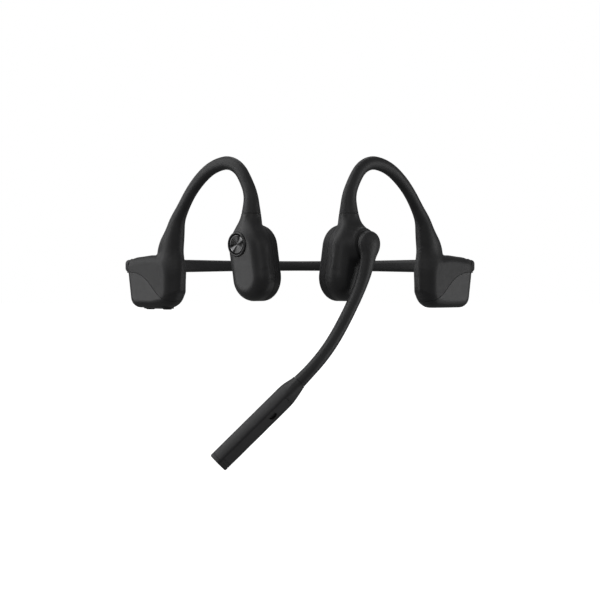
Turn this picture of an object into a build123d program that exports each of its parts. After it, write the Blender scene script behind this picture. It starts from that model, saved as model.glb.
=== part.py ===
from build123d import *
import os
from math import cos, radians, sin

# Bone conduction headphones with a boom microphone, in millimetres.
# Origin midway between the two skin pads, level with the middle of the neckband.
# +X is the wearer's left, +Y is behind the head, +Z is up.
# Each side is drawn in the plane of its ear arm: s runs backwards along the arm,
# b runs outwards from the head, and the local y of that plane is +Z.
# Everything is drawn on the wearer's left and mirrored where the right side has it.

# ---------------------------------------------------------------- driving sizes
ARM_ANGLE = 43.5                      # arm plane against the left-right axis
PAD_X = 18.4                          # centre of the transducer
PAD_Y = -4.46
RUN_GAP = 0.02                        # clearance of a wire in its channel

# hook over the ear
HOOK_NECK = (1.2, 13.4)
HOOK_FRONT = (1.4, 25.0)
HOOK_SHOULDER = (2.8, 31.0)
HOOK_RISE = (6.3, 36.8)
HOOK_TOP = (17.0, 41.4)
HOOK_FALL = (28.0, 37.3)
HOOK_BACK = (38.5, 27.1)
HOOK_BEND = (42.8, 20.8)
HOOK_LEG = (44.9, 16.2)
HOOK_LOW = (47.0, 10.0)
HOOK_ROOT = (48.8, 1.4)
# share of the path, width in the arm plane, thickness across it
HOOK_SECTIONS = [
    (0.085, 7.6, 7.3),
    (0.135, 6.4, 5.7),
    (0.196, 5.5, 4.6),
    (0.272, 5.4, 4.3),
    (0.367, 5.4, 4.3),
    (0.461, 5.4, 4.3),
    (0.556, 5.3, 4.3),
    (0.650, 5.1, 4.3),
    (0.726, 5.2, 4.5),
    (0.776, 6.0, 5.2),
    (0.832, 7.4, 7.0),
    (0.877, 9.4, 8.4),
    (0.910, 11.7, 9.4),
    (0.950, 14.4, 9.8),
    (0.985, 14.4, 9.2),
]
HOOK_WIRE_R = 0.6
HOOK_CABLE_R = 0.45
HOOK_WIRE_B = -0.8
HOOK_CABLE_B = 0.9

# pod
POD_HALF = 5.5
POD_EDGE = 4.2
POD_WALL = 1.3
POD_FRONT = 40.8
POD_BOTTOM = -17.3
POD_TOP_FRONT = 4.45
POD_TOP_BREAK = 57.2
POD_REAR_TOP = (70.0, 3.0)
POD_REAR_LOW = 66.6
POD_CORNER_FRONT = 7.0
POD_CORNER_REAR = 4.6
SEAM_GAP = 0.05
SEAM_POINTS = [
    (74.0, -2.6), (68.8, -2.6), (65.5, -2.6), (62.0, -3.2), (59.1, -4.4), (56.7, -6.0),
    (54.4, -8.1), (52.4, -10.2), (50.3, -12.0), (48.0, -13.4), (45.2, -14.5), (36.0, -15.3),
]
SPLIT_REACH = 12.0

# transducer
PILL_CENTRE = (0.0, 1.2)
PILL_WIDTH = 18.0
PILL_RUN = 11.6
PILL_LEAN = 80.5
PILL_HALF = 6.15
PILL_SPLIT = -1.6
PILL_OUT_EDGE = 3.6
PILL_SKIN_EDGE = 2.6
PILL_WALL = 1.4
PILL_SKIN_WALL = 1.4
PILL_ROOM = 4.3                       # outer end of the cavity
# height, s, b, width in the arm plane, thickness across it
NECK_SECTIONS = [
    (20.95, 1.45, 0.1, 7.6, 7.3),
    (17.5, 1.9, 0.6, 8.8, 7.9),
    (13.5, 2.0, 1.1, 11.8, 8.9),
    (9.0, 1.6, 1.4, 15.6, 9.2),
]
DRIVE_CENTRE = (-0.9, -3.9)
PLATE_R = 7.0
PLATE_TOP = -4.25
COIL_R = 4.6
COIL_BORE_R = 3.7
COIL_TOP = -1.2
MAGNET_R = 3.2
MAGNET_LOW = -2.9
MAGNET_UP = 0.9
YOKE_R = 6.6
YOKE_BORE_R = 5.2
YOKE_LOW = -3.4
YOKE_BACK = 2.4
YOKE_BOSS_R = 3.0

# round controls on the outer faces
KNOB_CENTRE = (3.1, 8.6)
POCKET_B = 5.0
KNOB_RING_R = 5.0
KNOB_RING_TOP = 6.95
KNOB_DISC_R = 3.84
KNOB_RUN = 0.1
KNOB_FACE = 6.75
KNOB_BACK = 5.75
KNOB_DISH = 0.25
KNOB_STEM_R = 1.2
KNOB_STEM_END = 3.75
KNOB_STEM_HOLE_R = 1.6
KNOB_SWITCH_B = 1.6
KNOB_SWITCH = (4.4, 4.4, 1.6)
KNOB_BOARD_B = 1.0
KNOB_BOARD = (7.0, 5.4, 0.6)
KNOB_EDGE = 0.35
KNOB_DISH_R = 3.2

# boom pivot
BOSS_R = 5.9
BOSS_TOP = 7.9
SEAT_R = 5.6
SEAT_TOP = 8.4
BUSH_R = 2.58
SHAFT_R = 2.0
SHAFT_BORE_R = 1.1
SHAFT_BACK = 2.6
SHAFT_FRONT = 9.6
SHAFT_RUN = 0.05
WASHER_R = 4.2
WASHER_TOP = 8.45
CLIP_BACK = 3.5
CLIP_FRONT = 4.15
CLIP_R = 3.3
CLIP_GROOVE_R = 1.65
CLIP_PINCH = 0.5
HUB_R = 5.5
HUB_BACK = 8.5
HUB_TOP = 12.6
HUB_EDGE = 2.2
HUB_ROOM_R = 3.2
HUB_ROOM_TOP = 11.6

# boom arm and microphone capsule, points as (s, b, z)
BOOM_POINTS = [
    (3.1, 10.95, 8.6),
    (-0.1, 10.7, -3.9),
    (-5.6, 10.1, -13.8),
    (-13.1, 9.0, -25.9),
    (-19.6, 8.5, -33.8),
    (-27.0, 7.3, -40.8),
    (-54.8, -15.0, -75.7),
]
BOOM_REACH = 5.0                      # arc length taken from each run at a corner
BOOM_R = 2.4
BOOM_START = 3.0
SPINE_R = 0.6
BOOM_CABLE_R = 0.5
SPINE_SIDE = 1.25
CABLE_BACK = 33.0
CABLE_TURN = 1.2
CABLE_END = 2.8
# distance back from the tip, width along the panel, thickness, corner
CAPSULE_SECTIONS = [
    (44.5, 4.8, 4.8, 2.39),
    (42.3, 5.3, 5.2, 2.45),
    (40.0, 6.6, 6.1, 2.5),
    (37.8, 7.8, 7.0, 2.5),
]
CAPSULE_TIP_EDGE = 0.6
CAPSULE_WALL = 1.2
CAPSULE_HOLLOW = 37.2                 # cavity starts this far from the tip
PANEL_LOOK = (0.48, -0.72, -0.5)      # way the flat side panel faces
PANEL_LONG = 34.6
PANEL_BACK = 19.2
PANEL_WIDE = 5.0
PANEL_THICK = 0.8
PANEL_CORNER = 0.8
PORT_BACK = 27.9
PORT_LONG = 3.4
PORT_WIDE = 2.6
MESH_THICK = 0.25
CAP_THICK = 1.6
MIC_BOARD = (27.0, 4.2, 0.8)
MIC_BOARD_BACK = 17.5
MIC_ELEMENT = (3.5, 2.6, 1.1)
MIC_BACKS = (27.9, 6.2)

# neckband
BAND_THICK = 3.4
BAND_ROOT = 66.0                      # s where the wires end in the pod
BAND_LEAVE = 70.0
BAND_BEND_R = 9.0
BAND_SIDE_R = 32.0
BAND_BACK_Y = 96.0
BAND_EDGE = 1.3
# height of the sleeve at a distance from the middle plane
BAND_HEIGHTS = [(0.0, 4.2), (29.0, 4.6), (46.0, 5.3), (60.0, 5.8), (80.0, 6.0)]
BAND_WIRE_R = 0.55
BAND_CABLE_R = 0.45
BAND_WIRE_Z = 0.9
BAND_CABLE_Z = -0.9
BAND_TALL = 8.0

# control pad under the wearer's right pod
PAD_S = 55.3
PAD_LONG = 15.2
PAD_WIDE = 6.6
PAD_CORNER = 3.2
PAD_FACE = -17.7
PAD_INSIDE = -15.6
VOLUME_S = (50.2, 60.4)
VOLUME_LONG = 4.0
VOLUME_WIDE = 2.8
VOLUME_FACE = -18.05
VOLUME_RUN = 0.08
VOLUME_EDGE = 0.3
FLANGE = 0.5
FLANGE_LOW = -15.3
FLANGE_TOP = -14.9
SWITCH_LOW = -14.4
BOARD_LOW = -12.8
SWITCH_LONG = 3.5
SWITCH_WIDE = 3.0
PORT_SIZE = (4.3, 4.0)
PORT_CORNER = 0.9
PORT_LOW = -17.55
PORT_TOP = -14.6
PORT_RECESS = 0.35
PORT_RIM = 0.5
PIN_R = 0.5
PIN_B = 0.9
PIN_LOW = -17.4
MAGNET_TOP = -13.0
LIGHT_S = 57.93
LIGHT_B = 2.2
LIGHT_R = 0.42
LIGHT_TOP = -14.6
LED_SIZE = (1.0, 1.0, 0.7)
LED_LOW = -13.5
LED_CORNER = 0.15

# inside the pods
BATTERY = (20.0, 11.5, 6.0)
BATTERY_AT = (55.0, -8.4)
CELL_BOARD = (12.0, 2.4, 0.8)
CELL_BOARD_AT = (58.5, -0.6)
BATTERY_CORNER = 2.4
BOARD_CORNER = 0.6
ANTENNA_B = 3.6
ANTENNA_AT = (54.5, -8.0)
ANTENNA = (13.0, 11.0, 0.15)
ANTENNA_CORNER = 2.2
ANTENNA_TRACK = 1.5
MAIN_BOARD = (20.0, 11.6, 0.8)
MAIN_BOARD_AT = (54.5, -5.6)
CAN = (9.0, 8.0, 1.6)
CAN_AT = (50.5, -5.6)
CHIP = (5.0, 5.0, 0.9)
CHIP_AT = (60.5, -6.0)
CHIP_CORNER = 0.3
CONTROL_BOARD = (16.0, 6.0, 0.6)

E_S = Vector(cos(radians(ARM_ANGLE)), sin(radians(ARM_ANGLE)), 0)
N_OUT = Vector(sin(radians(ARM_ANGLE)), -cos(radians(ARM_ANGLE)), 0)
UP = Vector(0, 0, 1)
ARM = Plane(origin=(PAD_X, PAD_Y, 0), x_dir=E_S, z_dir=N_OUT)


def at(s, b, z):
    """Point of the left arm frame in the shared frame."""
    return Vector(PAD_X, PAD_Y, 0) + E_S * s + N_OUT * b + UP * z


def level(s, b, z):
    """Horizontal plane at a point of the arm, its local x along the arm."""
    return Plane(origin=at(s, b, z), x_dir=E_S, z_dir=UP)


def facing(b, centre):
    """Plane facing outwards at a point (s, z) of the arm, b from its middle."""
    return Plane(origin=at(centre[0], b, centre[1]), x_dir=E_S, z_dir=N_OUT)


def knob_plane(b):
    """Plane across the round controls' axis."""
    return facing(b, KNOB_CENTRE)


def disc(plane, radius, depth, bore=0.0):
    """Disc or ring standing on a plane."""
    with BuildPart() as body:
        with BuildSketch(plane):
            Circle(radius)
            if bore:
                Circle(bore, mode=Mode.SUBTRACT)
        extrude(amount=depth)
    return body.part


def slab(plane, size, corner):
    """Rounded slab standing on a plane."""
    with BuildPart() as body:
        with BuildSketch(plane):
            RectangleRounded(size[0], size[1], corner)
        extrude(amount=size[2])
    return body.part


def pod_body(inset):
    """Pod as one solid, or its cavity when inset by the wall."""
    corners = [
        (POD_FRONT, POD_BOTTOM, POD_CORNER_FRONT),
        (POD_FRONT, POD_TOP_FRONT, POD_CORNER_REAR),
        (POD_REAR_TOP[0], POD_REAR_TOP[1], POD_CORNER_REAR),
        (POD_REAR_LOW, POD_BOTTOM, POD_CORNER_REAR),
    ]
    with BuildPart() as body:
        with BuildSketch(ARM.offset(inset - POD_HALF)) as outline:
            with BuildLine():
                Polyline(
                    (POD_FRONT, POD_BOTTOM), (POD_FRONT, POD_TOP_FRONT),
                    (POD_TOP_BREAK, POD_TOP_FRONT), POD_REAR_TOP,
                    (POD_REAR_LOW, POD_BOTTOM), close=True,
                )
            make_face()
            for s, z, radius in corners:
                fillet(outline.vertices().sort_by_distance((s, z, 0))[0], radius)
            if inset:
                offset(amount=-inset, mode=Mode.REPLACE)
        extrude(amount=2 * (POD_HALF - inset))
        fillet(body.faces().filter_by(ARM).edges(), POD_EDGE - inset)
    return body.part


def seam_block(shift, end_z):
    """Block on one side of the pod's S-shaped seam, reaching to a height."""
    points = [(s, z + shift) for s, z in SEAM_POINTS]
    with BuildPart() as body:
        with BuildSketch(ARM.offset(-SPLIT_REACH)):
            with BuildLine():
                Spline(*points)
                Polyline(points[-1], (points[-1][0], end_z), (points[0][0], end_z), points[0])
            make_face()
        extrude(amount=2 * SPLIT_REACH)
    return body.part


def hook_line():
    """Middle line of the hook, from the transducer neck to the pod."""
    with BuildLine(ARM) as line:
        front = Line(HOOK_NECK, HOOK_FRONT)
        shoulder = TangentArc(HOOK_FRONT, HOOK_SHOULDER, tangent=front % 1)
        rise = TangentArc(HOOK_SHOULDER, HOOK_RISE, tangent=shoulder % 1)
        crown = TangentArc(HOOK_RISE, HOOK_TOP, tangent=rise % 1)
        fall = TangentArc(HOOK_TOP, HOOK_FALL, tangent=crown % 1)
        back = TangentArc(HOOK_FALL, HOOK_BACK, tangent=fall % 1)
        bend = TangentArc(HOOK_BACK, HOOK_BEND, tangent=back % 1)
        leg = TangentArc(HOOK_BEND, HOOK_LEG, tangent=bend % 1)
        low = TangentArc(HOOK_LEG, HOOK_LOW, tangent=leg % 1)
        TangentArc(HOOK_LOW, HOOK_ROOT, tangent=low % 1)
    return line.wire()


def hook_tube(line, side, radius):
    """Round wire along the hook's middle line, set over to one side."""
    with BuildPart() as body:
        with BuildSketch(Plane(origin=line @ 0, x_dir=N_OUT, z_dir=line % 0)):
            with Locations((side, 0)):
                Circle(radius)
        sweep(path=line)
    return body.part


def hook_solid(line):
    """Soft skin of the hook as one solid, lofted through its sections."""
    with BuildPart() as body:
        for share, wide, thick in HOOK_SECTIONS:
            with BuildSketch(Plane(origin=line @ share, x_dir=N_OUT, z_dir=line % share)):
                Ellipse(thick / 2, wide / 2)
        loft()
    return body.part


def pill(width, low, high):
    """Upright slab with round ends, the outline of a transducer."""
    with BuildPart() as body:
        with BuildSketch(ARM.offset(low)):
            with Locations(PILL_CENTRE):
                SlotCenterToCenter(PILL_RUN, width, rotation=PILL_LEAN)
        extrude(amount=high - low)
    return body.part


def neck_solid():
    """Neck that carries the transducer under the hook."""
    with BuildPart() as body:
        for z, s, b, wide, thick in NECK_SECTIONS:
            with BuildSketch(level(s, b, z)):
                Ellipse(wide / 2, thick / 2)
        loft()
    return body.part


def band_line():
    """Middle line of the neckband, from the left pod round to the right pod."""
    leave = at(BAND_LEAVE, 0, 0)
    start = at(BAND_ROOT, 0, 0)
    bend = radians(ARM_ANGLE)
    side_x = leave.X + BAND_BEND_R * (1 - sin(bend))
    side_y = leave.Y + BAND_BEND_R * cos(bend)
    drop = BAND_BACK_Y - side_y
    across = side_x - BAND_SIDE_R
    back_r = (across ** 2 + drop ** 2 - BAND_SIDE_R ** 2) / (2 * (drop - BAND_SIDE_R))
    share = BAND_SIDE_R / (back_r - BAND_SIDE_R)
    join_x = across + across * share
    join_y = side_y + (side_y - (BAND_BACK_Y - back_r)) * share
    with BuildLine() as line:
        root = Line(start, leave)
        turn = TangentArc(leave, (side_x, side_y), tangent=root % 1)
        flank = TangentArc((side_x, side_y), (join_x, join_y), tangent=turn % 1)
        TangentArc((join_x, join_y), (0, BAND_BACK_Y), tangent=flank % 1)
        mirror(about=Plane.YZ)
    return line.wire()


def boom_line(start, back):
    """Middle line of the boom between two distances from its ends."""
    points = [at(*point) for point in BOOM_POINTS]
    out = (points[1] - points[0]).normalized()
    along = (points[-1] - points[-2]).normalized()
    stops = [points[0] + out * start] + points[1:-1] + [points[-1] - along * back]
    last = stops[0]
    with BuildLine() as line:
        for before, corner, after in zip(stops, stops[1:], stops[2:]):
            into = (corner - before).normalized()
            away = (after - corner).normalized()
            Line(last, corner - into * BOOM_REACH)
            TangentArc(corner - into * BOOM_REACH, corner + away * BOOM_REACH, tangent=into)
            last = corner + away * BOOM_REACH
        Line(last, stops[-1])
    return line.wire()


def boom_plane(line):
    """Plane across the start of the boom's middle line."""
    return Plane(origin=line @ 0, x_dir=N_OUT, z_dir=line % 0)


def boom_tube(line, side, radius):
    """Round rod along the boom, set over to one side of its middle line."""
    with BuildPart() as body:
        with BuildSketch(boom_plane(line)):
            with Locations((side, 0)):
                Circle(radius)
        sweep(path=line)
    return body.part


def boom_lead(radius):
    """Cable from the pivot shaft through the arm into the capsule."""
    hub = at(*BOOM_POINTS[0])
    out = (at(*BOOM_POINTS[1]) - hub).normalized()
    low = at(KNOB_CENTRE[0], CABLE_END, KNOB_CENTRE[1])
    high = hub - N_OUT * CABLE_TURN
    with BuildLine() as line:
        rise = Line(low, high)
        TangentArc(high, hub + out * CABLE_TURN, tangent=rise % 1)
        add(boom_line(CABLE_TURN, CABLE_BACK))
    lead = line.wire()
    with BuildPart() as body:
        with BuildSketch(Plane(origin=lead @ 0, z_dir=lead % 0)):
            Circle(radius)
        sweep(path=lead)
    return body.part


def tip_frame():
    """Tip of the capsule, its axis, the way the panel faces and the way across it."""
    tip = at(*BOOM_POINTS[-1])
    along = (tip - at(*BOOM_POINTS[-2])).normalized()
    look = Vector(*PANEL_LOOK)
    outward = (look - along * look.dot(along)).normalized()
    return tip, along, outward, outward.cross(along)


def tip_plane(back):
    """Plane across the capsule, a distance back from its tip, local y to the panel."""
    tip, along, outward, side = tip_frame()
    return Plane(origin=tip - along * back, x_dir=side, z_dir=along)


def panel_plane(back, height):
    """Plane along the capsule facing out of its panel, local x to the tip."""
    tip, along, outward, side = tip_frame()
    return Plane(origin=tip - along * back + outward * height, x_dir=along, z_dir=outward)


def band_profile():
    """Block as tall as the neckband is seen from behind."""
    upper = [(-x, h / 2) for x, h in reversed(BAND_HEIGHTS[1:])]
    upper = upper + [(x, h / 2) for x, h in BAND_HEIGHTS]
    lower = [(x, -z) for x, z in reversed(upper)]
    with BuildPart() as body:
        with BuildSketch(Plane.XZ):
            with BuildLine():
                Spline(*upper)
                Line(upper[-1], lower[0])
                Spline(*lower)
                Line(lower[-1], upper[0])
            make_face()
        extrude(amount=-BAND_BACK_Y - BAND_TALL)
    return body.part


def band_tube(line, height, radius):
    """Round wire round the neckband, above or below its middle line."""
    with BuildPart() as body:
        with BuildSketch(Plane(origin=line @ 0, x_dir=UP, z_dir=line % 0)):
            with Locations((height, 0)):
                Circle(radius)
        sweep(path=line)
    return body.part


# ---------------------------------------------------------------- shared bodies
hook_path = hook_line()
band_path = band_line()
hook_channels = [
    hook_tube(hook_path, HOOK_WIRE_B, HOOK_WIRE_R + RUN_GAP),
    hook_tube(hook_path, HOOK_CABLE_B, HOOK_CABLE_R + RUN_GAP),
]
band_channels = [
    band_tube(band_path, BAND_WIRE_Z, BAND_WIRE_R + RUN_GAP),
    band_tube(band_path, BAND_CABLE_Z, BAND_CABLE_R + RUN_GAP),
]

# ---------------------------------------------------------------- ear hooks
with BuildPart() as left_ear_hook:
    add(pod_body(0.0))
    add(hook_solid(hook_path))
    add(seam_block(SEAM_GAP, POD_BOTTOM - SPLIT_REACH), mode=Mode.SUBTRACT)
    add(pod_body(POD_WALL), mode=Mode.SUBTRACT)
    for channel in hook_channels + band_channels:
        add(channel, mode=Mode.SUBTRACT)

with BuildPart() as right_ear_hook:
    mirror(left_ear_hook.part, about=Plane.YZ)

with BuildPart() as left_hook_wire:
    add(hook_tube(hook_path, HOOK_WIRE_B, HOOK_WIRE_R))

with BuildPart() as right_hook_wire:
    mirror(left_hook_wire.part, about=Plane.YZ)

with BuildPart() as left_hook_cable:
    add(hook_tube(hook_path, HOOK_CABLE_B, HOOK_CABLE_R))

with BuildPart() as right_hook_cable:
    mirror(left_hook_cable.part, about=Plane.YZ)

# ---------------------------------------------------------------- neckband
with BuildPart() as neckband_sleeve:
    with BuildSketch(Plane(origin=band_path @ 0, x_dir=UP, z_dir=band_path % 0)):
        Rectangle(BAND_TALL, BAND_THICK)
    sweep(path=band_path)
    add(band_profile(), mode=Mode.INTERSECT)
    long_edges = neckband_sleeve.edges().filter_by(lambda e: abs((e @ 0.5).Z) > 1)
    fillet(long_edges, BAND_EDGE)
    add(pod_body(0.0), mode=Mode.SUBTRACT)
    mirror(pod_body(0.0), about=Plane.YZ, mode=Mode.SUBTRACT)
    for channel in band_channels:
        add(channel, mode=Mode.SUBTRACT)

with BuildPart() as neckband_spring_wire:
    add(band_tube(band_path, BAND_WIRE_Z, BAND_WIRE_R))

with BuildPart() as neckband_cable:
    add(band_tube(band_path, BAND_CABLE_Z, BAND_CABLE_R))

# ---------------------------------------------------------------- pod covers
with BuildPart() as left_pod_cover:
    add(pod_body(0.0))
    add(seam_block(-SEAM_GAP, SPLIT_REACH), mode=Mode.SUBTRACT)
    add(pod_body(POD_WALL), mode=Mode.SUBTRACT)

with BuildPart() as slotted_cover:
    add(left_pod_cover.part)
    add(slab(level(PAD_S, 0, PAD_FACE), (PAD_LONG, PAD_WIDE, PAD_INSIDE - PAD_FACE), PAD_CORNER),
        mode=Mode.SUBTRACT)

with BuildPart() as right_pod_cover:
    mirror(slotted_cover.part, about=Plane.YZ)

# ---------------------------------------------------------------- inside the left pod
with BuildPart() as battery_cell:
    add(slab(facing(-BATTERY[2] / 2, BATTERY_AT), BATTERY, BATTERY_CORNER))

with BuildPart() as battery_board:
    add(slab(facing(0, CELL_BOARD_AT), CELL_BOARD, BOARD_CORNER))

with BuildPart() as tag_antenna:
    with BuildSketch(facing(ANTENNA_B, ANTENNA_AT)):
        RectangleRounded(ANTENNA[0], ANTENNA[1], ANTENNA_CORNER)
        RectangleRounded(
            ANTENNA[0] - 2 * ANTENNA_TRACK, ANTENNA[1] - 2 * ANTENNA_TRACK,
            ANTENNA_CORNER - ANTENNA_TRACK, mode=Mode.SUBTRACT,
        )
    extrude(amount=ANTENNA[2])

# ---------------------------------------------------------------- inside the right pod
with BuildPart() as main_board:
    mirror(slab(facing(0, MAIN_BOARD_AT), MAIN_BOARD, BOARD_CORNER), about=Plane.YZ)

with BuildPart() as shielding_can:
    mirror(slab(facing(MAIN_BOARD[2], CAN_AT), CAN, BOARD_CORNER), about=Plane.YZ)

with BuildPart() as radio_chip:
    mirror(slab(facing(MAIN_BOARD[2], CHIP_AT), CHIP, CHIP_CORNER), about=Plane.YZ)

# ---------------------------------------------------------------- transducers
with BuildPart() as left_transducer_blank:
    add(pill(PILL_WIDTH, PILL_SPLIT, PILL_HALF))
    fillet(left_transducer_blank.faces().sort_by(Axis(ARM.origin, N_OUT))[-1].edges(),
           PILL_OUT_EDGE)
    add(neck_solid())
    add(pill(PILL_WIDTH, -PILL_HALF, PILL_SPLIT), mode=Mode.SUBTRACT)
    add(pill(PILL_WIDTH - 2 * PILL_WALL, PILL_SPLIT, PILL_ROOM), mode=Mode.SUBTRACT)
    for channel in hook_channels:
        add(channel, mode=Mode.SUBTRACT)

with BuildPart() as left_transducer_shell:
    add(left_transducer_blank.part)
    add(disc(knob_plane(POCKET_B), BOSS_R, BOSS_TOP - POCKET_B))
    add(disc(knob_plane(PILL_ROOM - PILL_WALL), BUSH_R + RUN_GAP, PILL_HALF),
        mode=Mode.SUBTRACT)

with BuildPart() as right_transducer_shell:
    mirror(left_transducer_blank.part, about=Plane.YZ)
    mirror(disc(knob_plane(POCKET_B), KNOB_RING_R + RUN_GAP, PILL_HALF),
           about=Plane.YZ, mode=Mode.SUBTRACT)
    mirror(disc(knob_plane(PILL_ROOM - PILL_WALL), KNOB_STEM_HOLE_R, PILL_HALF),
           about=Plane.YZ, mode=Mode.SUBTRACT)

with BuildPart() as left_transducer_cover:
    add(pill(PILL_WIDTH, -PILL_HALF, PILL_SPLIT - SEAM_GAP))
    fillet(left_transducer_cover.faces().sort_by(Axis(ARM.origin, N_OUT))[0].edges(),
           PILL_SKIN_EDGE)
    add(pill(PILL_WIDTH - 2 * PILL_WALL, PILL_SKIN_WALL - PILL_HALF, PILL_SPLIT),
        mode=Mode.SUBTRACT)

with BuildPart() as right_transducer_cover:
    mirror(left_transducer_cover.part, about=Plane.YZ)

with BuildPart() as left_vibration_plate:
    add(disc(facing(PILL_SKIN_WALL - PILL_HALF, DRIVE_CENTRE), PLATE_R,
             PLATE_TOP - PILL_SKIN_WALL + PILL_HALF))

with BuildPart() as left_voice_coil:
    add(disc(facing(PLATE_TOP, DRIVE_CENTRE), COIL_R, COIL_TOP - PLATE_TOP, COIL_BORE_R))

with BuildPart() as left_drive_magnet:
    add(disc(facing(MAGNET_LOW, DRIVE_CENTRE), MAGNET_R, MAGNET_UP - MAGNET_LOW))

with BuildPart() as left_drive_yoke:
    add(disc(facing(YOKE_LOW, DRIVE_CENTRE), YOKE_R, MAGNET_UP - YOKE_LOW, YOKE_BORE_R))
    add(disc(facing(MAGNET_UP, DRIVE_CENTRE), YOKE_R, YOKE_BACK - MAGNET_UP))
    add(disc(facing(YOKE_BACK, DRIVE_CENTRE), YOKE_BOSS_R, PILL_ROOM - YOKE_BACK))

with BuildPart() as right_vibration_plate:
    mirror(left_vibration_plate.part, about=Plane.YZ)

with BuildPart() as right_voice_coil:
    mirror(left_voice_coil.part, about=Plane.YZ)

with BuildPart() as right_drive_magnet:
    mirror(left_drive_magnet.part, about=Plane.YZ)

with BuildPart() as right_drive_yoke:
    mirror(left_drive_yoke.part, about=Plane.YZ)

# ---------------------------------------------------------------- multifunction button
with BuildPart() as ring_blank:
    add(disc(knob_plane(POCKET_B), KNOB_RING_R, KNOB_RING_TOP - POCKET_B,
             KNOB_DISC_R + KNOB_RUN))
    chamfer(ring_blank.faces().sort_by(Axis(ARM.origin, N_OUT))[-1].edges(), KNOB_EDGE)

with BuildPart() as multifunction_ring:
    mirror(ring_blank.part, about=Plane.YZ)

with BuildPart() as button_blank:
    add(disc(knob_plane(KNOB_BACK), KNOB_DISC_R, KNOB_FACE - KNOB_BACK))
    dish_r = (KNOB_DISH_R ** 2 + KNOB_DISH ** 2) / (2 * KNOB_DISH)
    with Locations(knob_plane(KNOB_FACE - KNOB_DISH + dish_r).location):
        Sphere(dish_r, mode=Mode.SUBTRACT)
    add(disc(knob_plane(KNOB_STEM_END), KNOB_STEM_R, KNOB_BACK - KNOB_STEM_END))

with BuildPart() as multifunction_button:
    mirror(button_blank.part, about=Plane.YZ)

with BuildPart() as multifunction_switch:
    mirror(slab(knob_plane(KNOB_SWITCH_B), KNOB_SWITCH, BOARD_CORNER), about=Plane.YZ)

with BuildPart() as multifunction_board:
    mirror(slab(knob_plane(KNOB_BOARD_B), KNOB_BOARD, BOARD_CORNER), about=Plane.YZ)

# ---------------------------------------------------------------- boom pivot
with BuildPart() as boom_seat_ring:
    add(disc(knob_plane(BOSS_TOP), SEAT_R, SEAT_TOP - BOSS_TOP, BUSH_R + RUN_GAP))

with BuildPart() as boom_bushing:
    add(disc(knob_plane(PILL_ROOM), BUSH_R, SEAT_TOP - PILL_ROOM, SHAFT_R + SHAFT_RUN))

with BuildPart() as boom_friction_washer:
    add(disc(knob_plane(SEAT_TOP), WASHER_R, WASHER_TOP - SEAT_TOP, SHAFT_R + SHAFT_RUN))

with BuildPart() as boom_pivot_shaft:
    add(disc(knob_plane(SHAFT_BACK), SHAFT_R, SHAFT_FRONT - SHAFT_BACK, SHAFT_BORE_R))
    add(disc(knob_plane(CLIP_BACK), CLIP_R, CLIP_FRONT - CLIP_BACK, CLIP_GROOVE_R),
        mode=Mode.SUBTRACT)

with BuildPart() as boom_retaining_clip:
    add(disc(knob_plane(CLIP_BACK), CLIP_R, CLIP_FRONT - CLIP_BACK, CLIP_GROOVE_R))
    with BuildSketch(knob_plane(CLIP_BACK)):
        with Locations((0, CLIP_R / 2)):
            Rectangle(2 * CLIP_GROOVE_R - CLIP_PINCH, CLIP_R + CLIP_PINCH)
    extrude(amount=CLIP_FRONT - CLIP_BACK, mode=Mode.SUBTRACT)

# ---------------------------------------------------------------- boom
arm_path = boom_line(BOOM_START, CAPSULE_SECTIONS[0][0])
lead_channel = boom_lead(BOOM_CABLE_R + RUN_GAP)

with BuildPart() as boom_hub:
    add(disc(knob_plane(HUB_BACK), HUB_R, HUB_TOP - HUB_BACK))
    fillet(boom_hub.faces().sort_by(Axis(ARM.origin, N_OUT))[-1].edges(), HUB_EDGE)
    add(disc(knob_plane(HUB_BACK), SHAFT_R + RUN_GAP, SHAFT_FRONT - HUB_BACK),
        mode=Mode.SUBTRACT)
    add(disc(knob_plane(SHAFT_FRONT), HUB_ROOM_R, HUB_ROOM_TOP - SHAFT_FRONT),
        mode=Mode.SUBTRACT)
    add(boom_tube(arm_path, 0, BOOM_R + RUN_GAP), mode=Mode.SUBTRACT)

with BuildPart() as boom_arm:
    with BuildSketch(boom_plane(arm_path)):
        Circle(BOOM_R)
        Circle(BOOM_CABLE_R + RUN_GAP, mode=Mode.SUBTRACT)
        with Locations((SPINE_SIDE, 0)):
            Circle(SPINE_R + RUN_GAP, mode=Mode.SUBTRACT)
    sweep(path=arm_path)

with BuildPart() as boom_spine_wire:
    add(boom_tube(arm_path, SPINE_SIDE, SPINE_R))

with BuildPart() as boom_cable:
    add(boom_lead(BOOM_CABLE_R))

# ---------------------------------------------------------------- microphone capsule
capsule_wide = CAPSULE_SECTIONS[-1][1]
capsule_thick = CAPSULE_SECTIONS[-1][2]
room_wide = capsule_wide - 2 * CAPSULE_WALL
room_thick = capsule_thick - 2 * CAPSULE_WALL
panel_floor = capsule_thick / 2 - PANEL_THICK

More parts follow.
